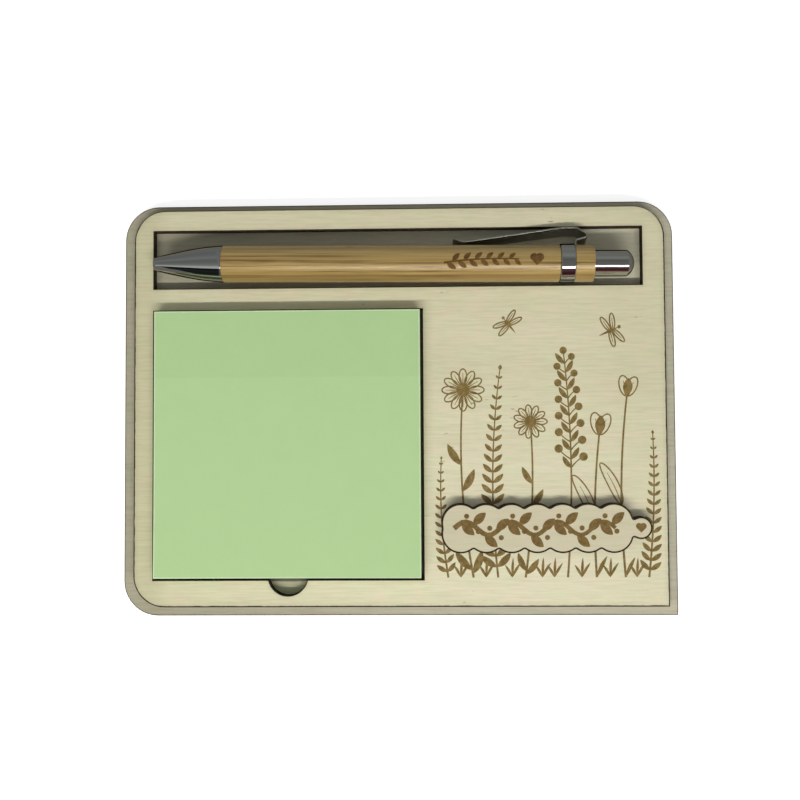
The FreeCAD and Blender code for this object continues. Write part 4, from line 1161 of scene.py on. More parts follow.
@dataclass
class Tray:
    """The base plate, the top frame with its engraved meadow, and the plaque."""

    plaque_lobe_radius: float = 5.5
    plaque_lobe_pitch: float = 7.2
    plaque_lobe_count: int = 7
    plaque_row_pitch: float = 3.1
    plaque_end_radius: float = 3.2
    plaque_end_reach: float = 2.1
    plaque_arris: float = 0.25
    scorch_reach: float = 0.42
    scorch_fade: float = 0.16
    line_rays: int = 900
    end_rays: int = 700
    outline_spacing: float = 0.12
    cusp_softness: float = 0.32
    base_corner: float = 10.0
    frame_corner: float = 9.0
    pocket: Cut = Cut((-70.75, -49.162), (7.2, 28.488), 0.0, 0.08)
    slot: Cut = Cut((-70.75, 35.088), (70.45, 51.812), 0.0, 0.2)
    notch: Cut = Cut((-37.375, -53.662), (-26.175, -42.462), 5.6, 0.6)
    # Painted shade: the base's top is darkened, with the burnt colour, along the pocket's outline in the gap
    # beside the pad.
    pocket_gap_painted_shade: Cut = Cut((-70.75, -49.162), (7.2, 28.488), 0.0, 0.8, reach=0.9)
    meadow_foot: float = -48.6
    tufts: tuple[float, ...] = (17.8, 25.0, 32.4, 41.0, 44.4, 52.2, 60.2, 67.8)

    def build(self) -> None:
        """Dress the two sheets, and make the meadow and the plaque."""
        base_edge = self.outer_cut("base_plate", self.base_corner, burn=0.6, reach=0.36, bare_back=0.0)
        frame_edge = self.outer_cut("top_frame", self.frame_corner, burn=1.0, reach=0.48, bare_back=0.9)
        sheets = {
            # The base's second line is painted shade in the pocket's gap.
            "base_plate": BASE_PLY.make((base_edge, self.pocket_gap_painted_shade)),
            "top_frame": FRAME_PLY.make((frame_edge, self.pocket, self.slot, self.notch)),
        }
        for node, material in sheets.items():
            dress(node, material)
        self.build_meadow(ENGRAVED.make())
        self.build_plaque(PLAQUE_PLY.make())
        self.build_ornament(ORNAMENT.make())

    @staticmethod
    def outer_cut(node: str, radius: float, burn: float, reach: float, bare_back: float) -> Cut:
        """Give the cut round a sheet, whose front right corner is square."""
        low, high = box_mm(node)
        return Cut(tuple(low[:2]), tuple(high[:2]), radius, burn, True, reach, bare_back)

    @staticmethod
    def level_face(left: float, front: float, top: float) -> Surface:
        """Give the surface of a level face.

        Args:
            left: Where its drawing's zero is along X.
            front: Where its drawing's zero is along Y.
            top: The face's height.

        Returns:
            A function that lays a drawing on the face.
        """

        def lay(x: Array, y: Array, height: Array) -> Array:
            """Lay a drawing's points on the face, or a height above it."""
            return np.stack([left + x, front + y, top + height], axis=-1)

        return lay

    def meadow(self) -> Drawing:
        """Draw the plants on the frame's right side.

        Returns:
            The drawing, in the part's own frame.
        """
        art = Drawing(line=0.5)
        ground = self.meadow_foot
        art.fern((14.2, ground), (12.4, -15.0), 0.9, 13, 3.4)
        art.daisy((21.4, ground), (18.8, 5.0), 1.8, 12, 4.4)
        art.fern((28.4, ground), (29.4, 10.6), 1.8, 19, 5.4)
        art.daisy((36.2, ground), (38.0, -4.2), -1.2, 11, 3.5)
        art.berry_sprig((48.2, ground), (47.6, 16.2), -1.6, 13, 1.3)
        art.tulip((56.4, ground), (57.6, -8.0), 0.9, 5.8, 1)
        art.tulip((64.6, ground), (65.6, 3.0), 1.4, 5.4, 1)
        art.fern((71.2, ground), (72.8, -8.0), -0.8, 15, 3.8)
        for x in self.tufts:
            for lean, tall in ((-1.6, 3.8), (0.2, 5.6), (1.8, 4.4)):
                blade = math.atan2(tall, lean), math.hypot(tall, lean)
                art.leaf(np.array([x, ground]), *blade, 0.75, LeafStyle.FILLED, -0.08 * lean)
        art.dragonfly((32.5, 23.2), math.radians(128), 8.4)
        art.dragonfly((60.4, 21.4), math.radians(24), 9.4)
        return art

    def build_meadow(self, brown: Material) -> None:
        """Set the drawn plants into the frame's top face.

        Args:
            brown: The engraving's finish.
        """
        top = box_mm("top_frame")[1][2]
        points, faces = self.meadow().solid(self.level_face(0, 0, top))
        new_piece("meadow_engraving", points, faces, brown, "tray")

    def plaque_outline(self) -> Array:
        """Trace the plaque: the farthest reach of its round lobes from the line through their middle.

        A ray leaves each point of that line, square to it or turning round its ends, and goes to where
        it leaves the last lobe. The outline is then softened, so that its cusps are round.

        Returns:
            The outline's points, anticlockwise, in the part's own frame.
        """
        r, pitch, count = self.plaque_lobe_radius, self.plaque_lobe_pitch, self.plaque_lobe_count
        low = box_mm("plaque")[0]
        middle = r + self.plaque_row_pitch / 2
        last = r + pitch * (count - 1)
        lobes = [(r + pitch * i, r + self.plaque_row_pitch * j, r) for i in range(count) for j in range(2)]
        lobes.append((last + r + self.plaque_end_reach, middle, self.plaque_end_radius))
        lobes = np.array(lobes)
        run = np.linspace(r, last, self.line_rays)
        turn = np.linspace(-math.pi / 2, math.pi / 2, self.end_rays)[1:-1]
        start = np.concatenate([run, np.full(len(turn), last), run[::-1], np.full(len(turn), r)])
        angle = np.concatenate([0 * run - math.pi / 2, turn, 0 * run + math.pi / 2, turn + math.pi])
        start = np.stack([start, np.full(len(start), middle)], axis=1)
        way = np.stack([np.cos(angle), np.sin(angle)], axis=1)
        offset = lobes[None, :, :2] - start[:, None]
        ahead = (offset * way[:, None]).sum(2)
        inside = lobes[None, :, 2] ** 2 - (offset**2).sum(2) + ahead**2
        reach = np.where(inside > 0, ahead + np.sqrt(np.maximum(inside, 0)), 0).max(1)
        loop = start + way * reach[:, None]
        loop = resampled(np.vstack([loop, loop[:1]]), self.outline_spacing)[:-1]
        wave = np.fft.fftfreq(len(loop), self.outline_spacing)
        soften = np.exp(-0.5 * (math.tau * wave * self.cusp_softness) ** 2)
        smooth = np.fft.ifft(np.fft.fft(loop, axis=0) * soften[:, None], axis=0).real
        return smooth + low[:2]

    def build_plaque(self, ply: Material) -> None:
        """Carry the plaque's edge profile, a wall with a rounded arris, round its outline.

        Args:
            ply: The plaque's finish.
        """
        low, high = box_mm("plaque")
        outline = self.plaque_outline()
        way = unit(np.roll(outline, -1, axis=0) - np.roll(outline, 1, axis=0))
        inward = np.stack([-way[:, 1], way[:, 0]], axis=1)
        arris = self.plaque_arris
        quarter = np.linspace(0, math.pi / 2, 5)
        inset = np.concatenate(
            [[0], arris * (1 - np.cos(quarter)), [self.scorch_reach, self.scorch_reach + self.scorch_fade]]
        )
        level = np.concatenate([[low[2]], high[2] - arris * (1 - np.sin(quarter)), [high[2], high[2]]])
        flat = outline[None] + inward[None] * inset[:, None, None]
        rings = np.concatenate([flat, np.broadcast_to(level[:, None, None], (*flat.shape[:2], 1))], axis=2)
        rows, columns = flat.shape[:2]
        faces = capped_faces(rows, columns)
        piece = new_piece("plaque_sheet", rings.reshape(-1, 3), faces, ply, "tray", ("plaque",))
        mark(piece, "char", np.repeat(np.concatenate([np.ones(rows - 1), [0]]), columns))

    def build_ornament(self, brown: Material) -> None:
        """Set a waving vine with leaves, and a heart on the end lobe, into the plaque's top face.

        Args:
            brown: The engraving's finish.
        """
        low, high = box_mm("plaque")
        middle = self.plaque_lobe_radius + self.plaque_row_pitch / 2
        last = self.plaque_lobe_radius + self.plaque_lobe_pitch * (self.plaque_lobe_count - 1)
        art = Drawing(line=1.1, samples=40)
        t = art.share()
        start, run = 3.6, last - 3.2
        swing, waves, pairs = 1.9, 3.5, 14

        def vine(share: Array | float) -> Array:
            """Give the points of the vine, a sine wave, at shares of its length."""
            wave = swing * np.sin(math.tau * waves * share)
            return np.stack([start + run * share, middle + wave], axis=-1)

        art.stroke(vine(t), 1.45 - 0.35 * t)
        for n in range(pairs):
            side = 1 if n % 2 else -1
            foot = vine((n + 0.7) / pairs)
            art.leaf(foot, side * 0.95, 4.9, 2.5, LeafStyle.FILLED, -0.16 * side)
            art.disc(foot + np.array([1.3, -side * 1.75]), 0.72)
        art.heart((last + self.plaque_lobe_radius + self.plaque_end_reach, middle - 0.1), 1.75)
        points, faces = art.solid(self.level_face(low[0], low[1], high[2]))
        new_piece("plaque_ornament", points, faces, brown, "tray")


@dataclass
class NotePad:
    """The pad of sticky notes: its card, its stack of sheets and the top note."""

    layers: int = 32
    stagger: float = 0.07
    side_points: int = 14
    sheet_rows: int = 56
    # Strength of the painted highlight along the top note's edge.
    painted_highlight_rim: float = 0.6
    corner_curl: float = 0.45
    curl_reach: float = 26.0
    bend_length: float = 16.0
    seed: int = 7

    def build(self) -> None:
        """Make the stack and the top note, and dress the card."""
        dress("backing_sheet", CARD.make())
        low, high = box_mm("top_note")
        # The top note's cut edge gets a painted highlight.
        green = NOTE_GREEN.make(Cut(tuple(low[:2]), tuple(high[:2]), 0.0, self.painted_highlight_rim))
        self.build_stack(green)
        self.build_top_note(green)

    def build_stack(self, green: Material) -> None:
        """Make the stack's sides as steps, where each layer's outline is shifted a little.

        Args:
            green: The paper's finish.
        """
        low, high = box_mm("note_block")
        rng = np.random.default_rng(self.seed)
        t = np.linspace(0, 1, self.side_points, endpoint=False)
        zero, one = 0 * t, 0 * t + 1
        sides = ((t, zero), (one, t), (1 - t, one), (zero, 1 - t))
        square = np.concatenate([np.stack(side, axis=1) for side in sides])
        shift = rng.uniform(0, self.stagger, (self.layers, 2, 2))
        corner_low = low[:2] + shift[:, 0]
        corner_high = high[:2] - shift[:, 1]
        loops = corner_low[:, None] + (corner_high - corner_low)[:, None] * square[None]
        loops = np.repeat(loops, 2, axis=0)
        floors = np.linspace(low[2], high[2], self.layers + 1)
        level = np.stack([floors[:-1], floors[1:]], axis=1).reshape(-1)
        rings = np.concatenate([loops, np.broadcast_to(level[:, None, None], (*loops.shape[:2], 1))], axis=2)
        rows, columns = loops.shape[:2]
        faces = capped_faces(rows, columns)
        new_piece("note_stack", rings.reshape(-1, 3), faces, green, "pad", ("note_block",))

    def build_top_note(self, green: Material) -> None:
        """Make the top note, a thin sheet whose two free corners curl up as the square of their reach.

        Args:
            green: The paper's finish.
        """
        low, high = box_mm("top_note")
        n = self.sheet_rows
        t = np.linspace(0, 1, n)
        x, y = np.meshgrid(low[0] + (high[0] - low[0]) * t, low[1] + (high[1] - low[1]) * t)
        left = np.hypot(x - low[0], y - low[1])
        right = np.hypot(x - high[0], y - low[1])
        reach = np.maximum(1 - np.minimum(left, right) / self.curl_reach, 0)
        lift = self.corner_curl * reach**2
        grids = np.stack([np.stack([x, y, z + lift], axis=-1) for z in (low[2], high[2])])
        quads = grid_faces(n, n)
        rim = np.concatenate([np.arange(n - 1), np.arange(n - 1) * n + n - 1])
        rim = np.concatenate([rim, n * n - 1 - np.arange(n - 1), (n - 1 - np.arange(n - 1)) * n])
        after = np.roll(rim, -1)
        sides = np.stack([rim, after, after + n * n, rim + n * n], axis=1)
        faces = np.concatenate([quads[:, ::-1], quads + n * n, sides]).tolist()
        points = grids.reshape(-1, 3)
        sheet = new_piece("top_sheet", points, faces, green, "note", ("top_note",))
        sheet.parent = None
        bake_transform(sheet)


@dataclass
class Pen:
    """The push-button pen, whose own frame has X along it from its nose and +Y towards its clip."""

    nose_length: float = 20.05
    nose_radii: tuple[float, ...] = (1.82, 2.06, 2.77, 3.86, 4.82, 5.29)
    nose_stations: tuple[float, ...] = (0.0, 0.9, 3.6, 8.8, 14.0, 20.05)
    nose_sweeps: tuple[float, ...] = (3.0, 60.0, 120.0, 50.0)
    nose_hole_eases: tuple[float, ...] = (0.12, 0.12)
    nose_spigot_eases: tuple[float, ...] = (0.05, 0.1, 0.2, 0.2, 0.1, 0.1)
    nose_hole_start: float = 1.0
    tip_hole_radius: float = 1.25
    chamber_front: float = 6.5
    chamber_radius: float = 2.45
    spigot_radius: float = 3.75
    spigot_length: float = 8.0
    spring_length: float = 21.5
    spring_end_gap: float = 0.05
    spring_coil_radius: float = 1.85
    spring_wire_radius: float = 0.2
    spring_turns: int = 8
    spring_steps: int = 40
    spring_sides: int = 12
    barrel_length: float = 96.35
    barrel_radius: float = 5.3
    barrel_bore: float = 4.35
    barrel_ease: float = 0.24
    bore_ease: float = 0.05
    band_length: float = 4.2
    band_radius: float = 5.595
    band_ease: float = 0.4
    band_seam_depth: float = 0.6
    band_seam_turn: float = 173.0
    tail_length: float = 5.4
    button_radius: float = 3.75
    button_reach: float = 11.6
    button_inside: float = 11.5
    button_bore: float = 3.2
    button_dome: float = 2.1
    button_edge: Point = (0.12, 0.02)
    button_end_wall: float = 0.8
    ball_radius: float = 0.4
    ball_setback: float = 2.5
    tip_length: float = 11.0
    tip_radius: float = 1.15
    tip_cone: float = 2.5
    tip_shank_length: float = 4.0
    tip_shank_radius: float = 1.12
    tip_seat_room: float = 1.05
    tip_rim: float = 0.08
    clip_thickness: float = 0.5
    clip_width: float = 5.0
    clip_root_gap: float = 0.12
    clip_root_depth: float = 0.85
    clip_root_rise: float = 1.0
    clip_apex_reach: float = 4.25
    clip_apex_rise: float = 2.3
    clip_top_rise: float = 4.9
    clip_top_reach: float = 0.45
    clip_shoulder: float = 3.9
    clip_arm: float = 28.6
    clip_toe_gap: float = 0.15
    clip_toe_length: float = 2.8
    clip_toe_rise: float = 1.3
    clip_toe_corner: float = 1.2
    clip_toe_least: float = 0.02
    clip_bends: tuple[float, ...] = (0.7, 0.7, 0.7, 3.0, 1.4)
    clip_spacing: float = 0.2
    clip_edge_ease: float = 0.14
    clip_notch_room: float = 0.15
    segments: int = 144

    def __post_init__(self) -> None:
        """Work out the pen's axes from its joints, and where its pieces begin."""
        self.band_front = self.nose_length + self.barrel_length
        self.band_rear = self.band_front + self.band_length
        self.tail_rear = self.band_rear + self.tail_length
        self.length = self.tail_rear + self.button_reach
        self.clip_root = self.band_rear + self.clip_root_gap + self.clip_thickness / 2
        self.along = -np.array(joint("button_press")["axis"])
        self.across = -np.array(joint("clip_flex")["axis"])
        self.clipward = np.cross(self.across, self.along)
        root = np.array(joint("clip_flex")["pos_m"]) / MM
        root_height = self.barrel_radius - self.clip_root_depth / 2
        self.tip = root - self.clip_root * self.along - root_height * self.clipward
        self.up = math.atan2(self.across[2], self.clipward[2])

    def place(self, u: Array, y: Array, z: Array) -> Array:
        """Give the points at distances along the pen, towards its clip and across it."""
        parts = (u[..., None] * self.along, y[..., None] * self.clipward, z[..., None] * self.across)
        return self.tip + sum(parts)

    def turned(
        self, profile: Array, front: Array | None = None, sunk: Array | None = None
    ) -> tuple[Array, Faces]:
        """Turn a closed profile of distances along and from the axis into a ring-shaped solid.

        Args:
            profile: The profile's points, n by 2.
            front: How far the profile's lowest points move along the pen, for each segment.
            sunk: How far the outer points sink towards the axis, for each segment.

        Returns:
            The points, and the point numbers of each face.
        """
        angle = np.linspace(0, math.tau, self.segments, endpoint=False)
        u = np.repeat(profile[:, :1], self.segments, axis=1)
        if front is not None:
            u = np.where(u <= profile[:, 0].min() + 1e-6, u + front[None], u)
        r = np.repeat(profile[:, 1:], self.segments, axis=1)
        if sunk is not None:
            r = np.where(r > r.mean(), r - sunk[None], r)
        points = self.place(u, r * np.cos(angle), r * np.sin(angle))
        faces = grid_faces(len(profile), self.segments, True, True)
        return points.reshape(-1, 3), faces.tolist()

    @staticmethod
    def eased(corners: list[Point], eases: list[float]) -> Array:
        """Round a closed profile's corners, each with its own radius.

        Args:
            corners: The corners in order. The first lies on a straight side.
            eases: The radius at every corner but the first.

        Returns:
            The profile's points.
        """
        points = np.array([*corners, corners[0]], float)
        return filleted(points, np.array(eases, float))[:-1]

    def build(self) -> None:
        """Make the pen's pieces from its nose to its button, and dress what is inside it."""
        chrome, bamboo = CHROME.make(), PEN_BAMBOO.make()
        self.build_nose(chrome)
        self.build_barrel(bamboo)
        self.build_band(chrome)
        self.build_tail(bamboo)
        self.build_button(chrome)
        self.build_clip(CLIP_STEEL.make())
        self.build_refill_tip(BRASS.make())
        self.build_ball(BALL_STEEL.make())
        self.build_spring(SPRING_STEEL.make())
        self.build_burnt_sprig(BURNT_BAMBOO.make())
        inside = {
            "barrel_insert": BRASS,
            "mechanism_housing": INNER_WHITE,
            "plunger": INNER_WHITE,
            "cam_rotor": ROTOR_DARK,
            "refill_tube": TUBE_CLEAR,
            "ink_column": INK_BLUE,
        }
        for node, finish in inside.items():
            dress(node, finish.make())

    def build_nose(self, chrome: Material) -> None:
        """Turn the plated nose, whose tapers meet in long sweeps.

        Args:
            chrome: The plating's finish.
        """
        end = self.nose_length + self.spigot_length
        corners = [
            (self.nose_hole_start, self.tip_hole_radius),
            (0, self.tip_hole_radius),
            *zip(self.nose_stations, self.nose_radii),
            (self.nose_length, self.spigot_radius),
            (end, self.spigot_radius),
            (end, self.chamber_radius),
            (self.chamber_front, self.chamber_radius),
            (self.chamber_front, self.tip_hole_radius),
        ]
        eases = [*self.nose_hole_eases, *self.nose_sweeps, *self.nose_spigot_eases]
        profile = self.eased(corners, eases)
        points, faces = self.turned(profile)
        new_piece("plated_nose", points, faces, chrome, "pen", ("nose_cone",))

    def sleeve(self, front: float, rear: float, radius: float, eases: Point) -> Array:
        """Give the profile of a sleeve on the barrel's bore, its rims eased.

        Args:
            front: Where it begins.
            rear: Where it ends.
            radius: Its outer radius.
            eases: The radii of its front and rear rims.

        Returns:
            The profile's points.
        """
        corners = [
            ((front + rear) / 2, self.barrel_bore),
            (front, self.barrel_bore),
            (front, radius),
            (rear, radius),
            (rear, self.barrel_bore),
        ]
        return self.eased(corners, [self.bore_ease, *eases, self.bore_ease])

    def build_barrel(self, bamboo: Material) -> None:
        """Turn the bamboo barrel.

        Args:
            bamboo: The bamboo's finish.
        """
        profile = self.sleeve(self.nose_length, self.band_front, self.barrel_radius, (self.barrel_ease,) * 2)
        points, faces = self.turned(profile)
        new_piece("bamboo_barrel", points, faces, bamboo, "pen", ("barrel",))

    def build_band(self, chrome: Material) -> None:
        """Turn the plated band, which is rolled from a strip and has its seam across from the clip.

        Args:
            chrome: The plating's finish.
        """
        profile = self.sleeve(self.band_front, self.band_rear, self.band_radius, (self.band_ease,) * 2)
        seam = np.zeros(self.segments)
        first = round(self.band_seam_turn / 360 * self.segments)
        seam[first : first + 3] = self.band_seam_depth
        points, faces = self.turned(profile, sunk=seam)
        piece = new_piece("plated_band", points, faces, chrome, "pen", ("centre_band",))
        # The seam is painted black as painted shade.
        mark(piece, "slit_painted_shade", np.tile(seam > 0, len(profile)))

    def build_tail(self, bamboo: Material) -> None:
        """Turn the bamboo tail sleeve, its front rim cut back where the clip's root goes in.

        Args:
            bamboo: The bamboo's finish.
        """
        eases = (self.bore_ease, self.barrel_ease)
        profile = self.sleeve(self.band_rear, self.tail_rear, self.barrel_radius, eases)
        angle = np.linspace(0, math.tau, self.segments, endpoint=False)
        half = self.clip_width / 2 + self.clip_root_gap + self.clip_notch_room
        notch = (np.abs(np.sin(angle)) * self.barrel_radius < half) & (np.cos(angle) > 0)
        points, faces = self.turned(profile, notch * (self.clip_thickness + 2 * self.clip_root_gap))
        new_piece("bamboo_tail", points, faces, bamboo, "pen", ("tail_sleeve",))

    def build_button(self, chrome: Material) -> None:
        """Turn the push button: a hollow cylinder with a domed end.

        Args:
            chrome: The plating's finish.
        """
        shoulder = self.length - self.button_dome
        dome_radius = (self.button_radius**2 + self.button_dome**2) / (2 * self.button_dome)
        spread = math.asin(self.button_radius / dome_radius)
        arc = np.linspace(spread, 0, 16)
        dome = np.stack([self.length - dome_radius * (1 - np.cos(arc)), dome_radius * np.sin(arc)], axis=1)
        front = self.tail_rear - self.button_inside
        floor = shoulder - self.button_end_wall
        wall = np.array([(floor, self.button_bore), (front, self.button_bore), (front, self.button_radius)])
        edge = np.array([(shoulder - back, self.button_radius) for back in self.button_edge])
        profile = np.vstack([[(floor, 0)], wall, edge, dome])
        points, faces = self.turned(profile)
        new_piece("plated_button", points, faces, chrome, "button", ("push_button",), 28.0)

    def clip_path(self) -> Array:
        """Bend the clip's middle line: root, hairpin, shoulder, arm and turned-up toe.

        Returns:
            Its points, along the pen and from its axis.
        """
        r = self.barrel_radius
        top_end = self.clip_root + self.clip_top_reach
        arm_start = top_end - self.clip_shoulder
        toe = arm_start - self.clip_arm
        toe_height = r + self.clip_toe_gap + self.clip_thickness / 2
        points = [
            (self.clip_root, r - self.clip_root_depth),
            (self.clip_root, r + self.clip_root_rise),
            (self.clip_root + self.clip_apex_reach, r + self.clip_apex_rise),
            (top_end, r + self.clip_top_rise),
            (arm_start, r + self.clip_top_rise),
            (toe, toe_height),
            (toe - self.clip_toe_length, toe_height + self.clip_toe_rise),
        ]
        bent = filleted(np.array(points), np.array(self.clip_bends), 12)
        return resampled(bent, self.clip_spacing)

    def build_clip(self, steel: Material) -> None:
        """Carry the clip's section, a strip with eased edges, along its middle line, its toe rounded.

        Args:
            steel: The clip's finish.
        """
        path = self.clip_path()
        way = unit(np.gradient(path, axis=0))
        out = np.stack([-way[:, 1], way[:, 0]], axis=1)
        thick, half, ease = self.clip_thickness / 2, self.clip_width / 2, self.clip_edge_ease
        signs = np.array([(1, 1), (-1, 1), (-1, -1), (1, -1)])
        centres = signs * np.array([thick - ease, half - ease])
        turn = np.linspace(0, math.pi / 2, 5) + np.arange(4)[:, None] * math.pi / 2
        rounded = centres[:, None] + ease * np.stack([np.cos(turn), np.sin(turn)], axis=2)
        section = rounded.reshape(-1, 2)
        run = np.linalg.norm(path - path[-1], axis=1)
        corner = self.clip_toe_corner
        short = np.clip(corner - run, 0, corner - self.clip_toe_least)
        narrowing = corner - np.sqrt(corner**2 - short**2)
        share = (half - narrowing) / half
        ring = path[:, None] + out[:, None] * section[None, :, :1]
        wide = share[:, None] * section[None, :, 1]
        points = self.place(ring[..., 0], ring[..., 1], wide).reshape(-1, 3)
        faces = capped_faces(*wide.shape)
        new_piece("bent_clip", points, faces, steel, "clip", ("pocket_clip",), 40.0)

    def build_spring(self, steel: Material) -> None:
        """Wind the return spring on the nose's seat, at its length at rest, though the real one shortens by
        the refill's travel.

        A circle is carried along a helix of even pitch, square to it.

        Args:
            steel: The spring's finish.
        """
        front = self.chamber_front + self.spring_end_gap
        free = self.spring_length - 2 * self.spring_end_gap
        wire, coil = self.spring_wire_radius, self.spring_coil_radius
        rise = free - 2 * wire
        steps = self.spring_steps * self.spring_turns
        turn = np.linspace(0, math.tau * self.spring_turns, steps + 1)[:, None]
        pitch = rise / turn[-1]
        slope = np.arctan2(pitch, coil)
        around = np.linspace(0, math.tau, self.spring_sides, endpoint=False)[None]
        out = coil + wire * np.cos(around)
        aside = wire * np.sin(around)
        u = front + wire + pitch * turn + aside * np.cos(slope)
        lag = -aside * np.sin(slope)
        y = out * np.cos(turn) - lag * np.sin(turn)
        z = out * np.sin(turn) + lag * np.cos(turn)
        points = self.place(u, y, z).reshape(-1, 3)
        faces = capped_faces(*u.shape)
        replaced = ("return_spring",)
        spring = new_piece("wound_spring", points, faces, steel, "pen", replaced, 40.0)
        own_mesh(spring)

    def build_refill_tip(self, brass: Material) -> None:
        """Turn the refill's writing tip, with the ball's seat at its front.

        Args:
            brass: The tip's finish.
        """
        rear = self.ball_setback + self.tip_length
        seat = self.tip_seat_room * self.ball_radius * math.sqrt(2)
        corners = [
            (self.ball_setback + seat, 0),
            (self.ball_setback, seat),
            (self.ball_setback, seat + self.tip_rim),
            (self.ball_setback + self.tip_cone, self.tip_radius),
            (rear, self.tip_radius),
            (rear, self.tip_shank_radius),
            (rear + self.tip_shank_length, self.tip_shank_radius),
            (rear + self.tip_shank_length, 0),
        ]
        points, faces = self.turned(np.array(corners))
        new_piece("writing_tip", points, faces, brass, "refill", ("refill_tip",))

    def build_ball(self, steel: Material) -> None:
        """Turn the writing ball from a half circle.

        Args:
            steel: The ball's finish.
        """
        t = np.linspace(0, math.pi, 17)
        half_circle = self.ball_radius * np.stack([-np.cos(t), np.sin(t)], axis=1)
        points, faces = self.turned(half_circle + np.array([self.ball_setback, 0]))
        new_piece("steel_ball", points, faces, steel, "refill", ("writing_ball",))

    def build_burnt_sprig(self, brown: Material) -> None:
        """Burn a leafy sprig and a heart into the barrel's upper side.

        Args:
            brown: The burnt bamboo's finish.
        """
        art = Drawing(line=0.55, samples=30)
        curve = art.stem((83.4, -0.6), (104.6, 0.4), 0.5, 0.6, 0.4)
        for n, t in enumerate(np.linspace(0.04, 0.94, 13)):
            place, way = art.along(curve, t)
            side = 1 if n % 2 else -1
            art.leaf(place, way + side * 0.9, 3.3 - 0.9 * t, 1.5 - 0.35 * t, LeafStyle.FILLED, -0.15 * side)
        art.heart((109.6, 0.2), 2.3)

        def wrap(x: Array, y: Array, height: Array) -> Array:
            """Lay a drawing round the barrel: y is the way round from its upper side.

            Args:
                x: How far along the pen.
                y: How far round it.
                height: How far above its surface.

            Returns:
                The points on the barrel.
            """
            angle = self.up - y / self.barrel_radius
            radius = self.barrel_radius + height
            return self.place(x, radius * np.cos(angle), radius * np.sin(angle))

        points, faces = art.solid(wrap, across=5)
        new_piece("barrel_brand", points, faces, brown, "pen")


# Bands that the plated pieces mirror: degrees from the front horizon, and the display colour there.
STRIP_LIGHT = 255 * 2.3
PLUM_BANDS: Bands = (
    (0, 138, 124, 100),
    (8, 140, 122, 96),
    (11, 60, 34, 32),
    (20, 54, 26, 30),
    (31, 66, 34, 44),
    (40, 84, 58, 63),
    (46, 74, 54, 54),
    (52, 100, 92, 88),
    (54, STRIP_LIGHT, STRIP_LIGHT, STRIP_LIGHT),
    (61, STRIP_LIGHT, STRIP_LIGHT, STRIP_LIGHT),
    (65, 102, 102, 97),
    (78, 95, 95, 91),
    (94, 94, 94, 90),
    (104, 87, 88, 84),
    (111, 94, 95, 92),
    (119, 107, 109, 105),
    (128, 122, 124, 119),
    (139, 116, 118, 113),
    (152, 105, 107, 103),
    (180, 111, 112, 108),
)
DARK_BANDS: Bands = (
    (0, 60, 64, 56),
    (6, 34, 38, 34),
    (17, 22, 24, 23),
    (34, 32, 34, 35),
    (48, 12, 14, 13),
    (52, 14, 16, 15),
    (54, 168, 171, 166),
    (66, 160, 162, 156),
    (70, 128, 131, 125),
    (80, 109, 112, 107),
    (94, 99, 101, 98),
    (108, 95, 97, 95),
    (124, 112, 114, 113),
    (138, 104, 106, 105),
    (155, 96, 98, 96),
    (180, 101, 103, 101),
)
DULL_BANDS: Bands = (
    (0, 100, 102, 98),
    (48, 106, 110, 106),
    (53, 168, 171, 166),
    (66, 150, 152, 148),
    (72, 112, 114, 110),
    (180, 101, 103, 101),
)


